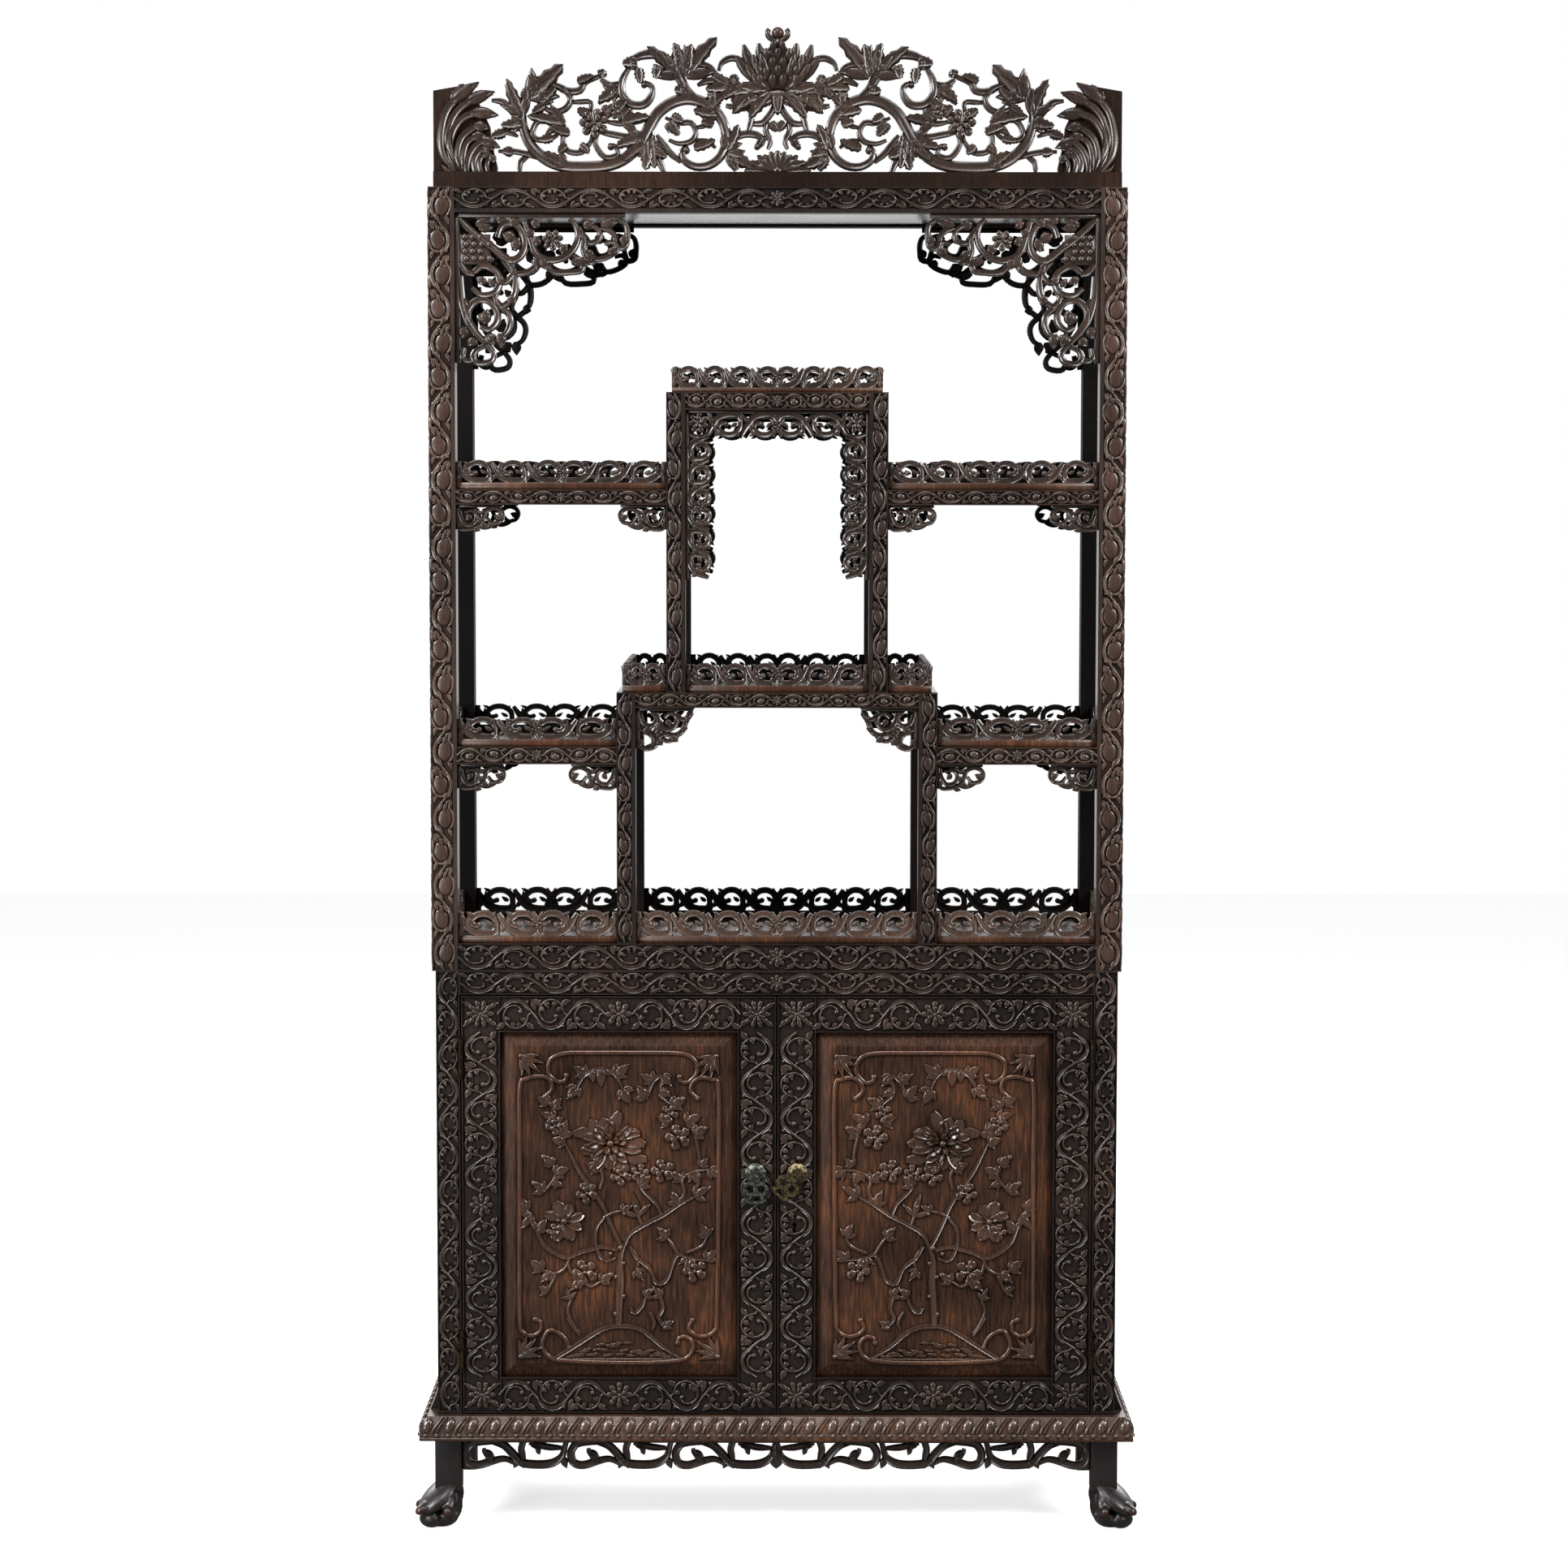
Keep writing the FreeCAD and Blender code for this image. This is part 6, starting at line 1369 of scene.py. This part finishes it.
def paw(name, node, hand):
    """A square leg that ends in a paw turned outwards, its toes over a rounded pad."""
    x = hand * LEG_X
    y = LEG_Y
    deselect()
    lumps = []

    def lump(ahead, aside, level, wide, deep, tall, lean=0.0, dip=0.0):
        turn = math.atan2(-1, hand) + math.radians(aside)
        place = (x + ahead * math.cos(turn), y + ahead * math.sin(turn), level)
        bpy.ops.mesh.primitive_uv_sphere_add(segments=24, ring_count=14, radius=MM,
                                             location=[value * MM for value in place])
        piece = bpy.context.object
        piece.scale = (deep, wide, tall)
        piece.rotation_euler = (0, math.radians(dip), turn + math.radians(lean))
        lumps.append(piece)

    # The ankle, the middle toe, the toes beside it, and the pads under them
    lump(-1, 0, 44, 20.5, 20.5, 26)
    lump(-4, 0, 26, 17, 15.5, 25)
    lump(20, 0, 44, 25, 40, 12, 0, 35)
    lump(50, 0, 29.5, 9, 14, 7, 0, 26)
    for aside in (-52, 52):
        lump(18, aside, 38, 12, 27, 15, 0, 34)
        lump(40, aside * 0.88, 27.5, 7.5, 10, 7, 0, 20)
        lump(24, aside * 0.8, 15, 12, 13, 14)
    lump(15, 0, 12, 25, 25, 15)
    lump(34, 0, 12, 19, 17, 13)
    deselect()
    for piece in lumps:
        piece.select_set(True)
    bpy.context.view_layer.objects.active = lumps[0]
    bpy.ops.object.join()
    foot = bpy.context.object
    bpy.ops.object.transform_apply(location=True, rotation=True, scale=True)
    remesh = foot.modifiers.new("blend", "REMESH")
    remesh.mode = "VOXEL"
    remesh.voxel_size = 1.6 * MM
    bpy.ops.object.modifier_apply(modifier="blend")
    ease = foot.modifiers.new("ease", "SMOOTH")
    ease.factor = 0.6
    ease.iterations = 8
    bpy.ops.object.modifier_apply(modifier="ease")
    bpy.ops.object.mode_set(mode="EDIT")
    bpy.ops.mesh.select_all(action="SELECT")
    bpy.ops.mesh.bisect(plane_co=(0, 0, 0), plane_no=(0, 0, 1), use_fill=True, clear_inner=True)
    bpy.ops.object.mode_set(mode="OBJECT")
    bpy.ops.mesh.primitive_cube_add(size=MM, location=(x * MM, y * MM, 89.5 * MM))
    leg = bpy.context.object
    leg.scale = (38, 38, 79)
    bpy.ops.object.transform_apply(location=True, rotation=True, scale=True)
    eased = leg.modifiers.new("eased", "BEVEL")
    eased.width = 1.6 * MM
    eased.segments = 3
    bpy.ops.object.modifier_apply(modifier="eased")
    foot.select_set(True)
    bpy.ops.object.join()
    piece = bpy.context.object
    piece.name = name
    piece.data.name = name
    bpy.ops.object.shade_smooth_by_angle(angle=math.radians(40))
    piece.data.materials.clear()
    piece.data.materials.append(FINISHES["leg_wood"])
    piece.data.materials.append(FINISHES["strip_wood"])
    turn = math.atan2(-1, hand)
    for aside, reach in ((0, 61), (-47, 49), (47, 49)):
        way = turn + math.radians(aside)
        claw = Vector((x + reach * math.cos(way), y + reach * math.sin(way), 27)) * MM
        for side in piece.data.polygons:
            if (side.center - claw).length < 6.5 * MM:
                side.material_index = 1
    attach(piece, "cabinet")
    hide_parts(node)


class CABINET_OT_stand(bpy.types.Operator):
    """Carve the stand: gadroons and beads on the plinth, pierced aprons and paw feet."""

    bl_idname = "cabinet.stand"
    bl_label = "Stand"

    def execute(self, context):
        plinth = Carving(71)
        low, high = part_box("plinth")
        left, front, foot = (value / MM for value in low)
        right, rear = high.x / MM, high.y / MM
        middle = (front + rear) / 2
        sides = (((0, front, foot), RIGHT, FORWARD, right - left),
                 ((right, middle, foot), AWAY, RIGHT, rear - front),
                 ((left, middle, foot), FORWARD, LEFT, rear - front))
        for place, along, out, length in sides:
            band = Face(place, along, UP, out)
            slope = (24 * band.up - 10 * band.out) / 26
            square = (10 * band.up + 24 * band.out) / 26
            face = Face(band.origin + 10 * band.up, along, slope, square)
            count = round((length - 30) / (context.scene.cabinet_carving.gadroon_pitch / MM))
            pitch = (length - 22) / count
            for index in range(count + 1):
                x = -length / 2 + 11 + index * pitch
                plinth.berry(face, (x, 12.6), 0.25 * pitch, 6.0, 1.5, 1.72, -26)
                if index < count:
                    for across, half, rise, tone in ((0.37, 2.6, 4.4, 0), (0.56, 2.3, 3.6, 1)):
                        start = x + across * pitch - 2
                        flute = [(start - 3, 1.5), (start, 8), (start + 6, 16), (start + 13, 25)]
                        plinth.stem(face, flute, half, rise, 1.5, (0.7, 0.7), 3, tone=tone)
            beads = round(length / BEAD_PITCH)
            for index in range(beads):
                x = -length / 2 + (index + 0.5) * length / beads
                plinth.berry(band, (x, 8.4), 3.7, 3.8, 0.5)
                plinth.berry(band, (x + 0.5 * length / beads, 8.4), 2.0, 1.8, 0.5, 0.7)
            plinth.strip(band, -length / 2, length / 2, 0.3, 5.2, 0.8, 0.5, tone=1, edge=0.6)
        plinth.finish("plinth_gadroons", "cabinet", "polished_wood", ["gadroon_wood", "strip_wood"])
        for name, foot_hand in (("left", -1), ("right", 1)):
            paw(f"{name}_paw_foot", f"front_{name}_leg", foot_hand)
        low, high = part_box("front_apron")
        work = Carving(73)
        face = Face((0, (low.y + high.y) / MM / 2, high.z / MM), RIGHT, UP, FORWARD)
        carve_apron(work, face, (high.x - low.x) / MM, 3, 7.0)
        work.berry(face, (0, -8), 4, 7, 6)
        for lean in (-1, 1):
            work.leaf(face, (2 * lean, -20), (lean, -42), 5, 7, 6)
        work.finish("front_apron_scrolls", "cabinet", "carved_wood", ["carved_wood"], ["front_apron"])
        low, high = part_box("side_aprons")
        work = Carving(75)
        for hand in (-1, 1):
            place = (hand * SIDE_APRON_X, (low.y + high.y) / MM / 2, high.z / MM)
            carve_apron(work, Face(place, AWAY, UP, sideways(hand)), (high.y - low.y) / MM, 1, 7.0)
        work.finish("side_apron_scrolls", "cabinet", "carved_wood", ["carved_wood"], ["side_aprons"])
        return {"FINISHED"}


# Studio


class CABINET_OT_studio(bpy.types.Operator):
    """Set up a pale floor, soft lights and the photograph's camera."""

    bl_idname = "cabinet.studio"
    bl_label = "Studio"

    def execute(self, context):
        scene = context.scene
        deselect()
        bpy.ops.mesh.primitive_plane_add(size=14, location=(0, 1.5, -0.0005))
        floor = context.object
        floor.name = "studio_floor"
        material, tree, shader = new_finish("pale_studio_floor")
        pale = linear(scene.cabinet_colours.floor)
        shader.inputs["Roughness"].default_value = 0.9
        shader.inputs["Specular IOR Level"].default_value = 0.1
        path = add_node(tree, "ShaderNodeLightPath")
        seen = add_node(tree, "ShaderNodeMix", {"Factor": path.outputs["Is Camera Ray"], "B": pale,
                                                "A": (0.2, 0.2, 0.2, 1)}, data_type="RGBA")
        tree.links.new(seen.outputs["Result"], shader.inputs["Base Color"])
        lift = add_node(tree, "ShaderNodeMath", {0: path.outputs["Is Camera Ray"], 1: 0.72},
                        operation="MULTIPLY")
        tree.links.new(lift.outputs[0], shader.inputs["Emission Strength"])
        shader.inputs["Emission Color"].default_value = (1, 1, 1, 1)
        floor.data.materials.append(material)
        bpy.ops.mesh.primitive_plane_add(size=21, location=(0, 8.4, 7), rotation=(math.radians(90), 0, 0))
        back = context.object
        back.name = "studio_backdrop"
        material, tree, shader = new_finish("white_backdrop")
        shader.inputs["Base Color"].default_value = (0.9, 0.9, 0.9, 1)
        path = add_node(tree, "ShaderNodeLightPath")
        shown = add_node(tree, "ShaderNodeMath", {0: path.outputs["Is Camera Ray"],
                                                  1: path.outputs["Is Glossy Ray"]}, operation="MAXIMUM")
        bright = add_node(tree, "ShaderNodeEmission", {"Color": (1, 1, 1, 1), "Strength": 1.0})
        dim = add_node(tree, "ShaderNodeEmission", {"Color": (0.75, 0.78, 0.82, 1), "Strength": 0.35})
        mixed = add_node(tree, "ShaderNodeMixShader", {0: shown.outputs[0], 1: dim.outputs[0],
                                                       2: bright.outputs[0]})
        tree.links.new(mixed.outputs[0], tree.nodes["Material Output"].inputs["Surface"])
        back.data.materials.append(material)
        # Each lamp: name, place, what it points at, side and power in watts
        lights = [
            ("left_softbox", (-3.0, -2.2, 3.2), (0.0, 0.0, 1.3), 1.3, 140),
            ("right_softbox", (3.0, -2.4, 2.9), (0.0, 0.0, 1.2), 1.3, 102),
            ("top_softbox", (-0.4, -2.1, 4.6), (0.0, 0.0, 1.5), 1.6, 80),
            ("low_fill", (-2.4, -2.6, 0.9), (0.0, 0.0, 0.5), 1.0, 34),
            ("upper_left", (-2.0, -1.5, 2.3), (-0.2, 0.0, 1.6), 0.7, 9),
            ("upper_right", (2.0, -1.5, 2.3), (0.2, 0.0, 1.6), 0.7, 9),
            ("rear_left", (-2.9, 2.9, 2.7), (0.0, 0.0, 1.1), 1.2, 55),
            ("rear_right", (2.9, 2.9, 2.7), (0.0, 0.0, 1.1), 1.2, 55),
        ]
        for name, place, target, size, power in lights:
            aim = (Vector(target) - Vector(place)).to_track_quat("-Z", "Y").to_euler()
            bpy.ops.object.light_add(type="AREA", location=place, rotation=aim)
            lamp = context.object
            lamp.name = name
            lamp.data.size = size
            lamp.data.energy = power
        world = bpy.data.worlds.new("studio_air")
        scene.world = world
        world.use_nodes = True
        tree = world.node_tree
        air = tree.nodes["Background"]
        air.inputs["Color"].default_value = (0.93, 0.95, 1.0, 1)
        air.inputs["Strength"].default_value = 0.12
        white = add_node(tree, "ShaderNodeBackground", {"Color": (1, 1, 1, 1), "Strength": 1.0})
        path = add_node(tree, "ShaderNodeLightPath")
        mixed = add_node(tree, "ShaderNodeMixShader", {0: path.outputs["Is Camera Ray"], 1: air.outputs[0],
                                                       2: white.outputs[0]})
        tree.links.new(mixed.outputs[0], tree.nodes["World Output"].inputs["Surface"])
        scene.view_settings.view_transform = "Standard"
        # The camera that was fitted to the photograph, 5.5 m in front of the cabinet, looking down by 4.5
        # degrees
        bpy.ops.object.camera_add(location=(0.0095, -5.6595, 1.507),
                                  rotation=(math.radians(90 - 4.498), math.radians(-0.07), 0))
        camera = context.object
        camera.name = "photograph_camera"
        camera.data.sensor_width = 36
        camera.data.lens = FOCAL_PIXELS * 36 / PHOTO_PIXELS
        camera.data.clip_end = 50
        scene.camera = camera
        return {"FINISHED"}


class CABINET_PT_panel(bpy.types.Panel):
    """Lists the pieces of the cabinet in the order they are made."""

    bl_idname = "CABINET_PT_panel"
    bl_label = "Book cabinet"
    bl_space_type = "VIEW_3D"
    bl_region_type = "UI"
    bl_category = "Cabinet"

    def draw(self, context):
        layout = self.layout
        for group in (context.scene.cabinet_carving, context.scene.cabinet_colours):
            box = layout.box()
            for name in group.bl_rna.properties.keys():
                if name not in ("rna_type", "name"):
                    box.prop(group, name)
        for operator in STEPS:
            layout.operator(operator.bl_idname)


STEPS = (CABINET_OT_finishes, CABINET_OT_frame_carving, CABINET_OT_door_carving, CABINET_OT_cresting,
         CABINET_OT_galleries, CABINET_OT_brackets, CABINET_OT_stand, CABINET_OT_studio)
CLASSES = (CabinetCarving, CabinetColours, *STEPS, CABINET_PT_panel)


def register():
    for item in CLASSES:
        bpy.utils.register_class(item)
    bpy.types.Scene.cabinet_carving = PointerProperty(type=CabinetCarving)
    bpy.types.Scene.cabinet_colours = PointerProperty(type=CabinetColours)


def unregister():
    del bpy.types.Scene.cabinet_colours
    del bpy.types.Scene.cabinet_carving
    for item in reversed(CLASSES):
        bpy.utils.unregister_class(item)


def main():
    register()
    cut_blanks()
    bpy.ops.cabinet.finishes()
    bpy.ops.cabinet.frame_carving()
    bpy.ops.cabinet.door_carving()
    bpy.ops.cabinet.cresting()
    bpy.ops.cabinet.galleries()
    bpy.ops.cabinet.brackets()
    bpy.ops.cabinet.stand()
    bpy.ops.cabinet.studio()


if __name__ == "__main__":
    main()
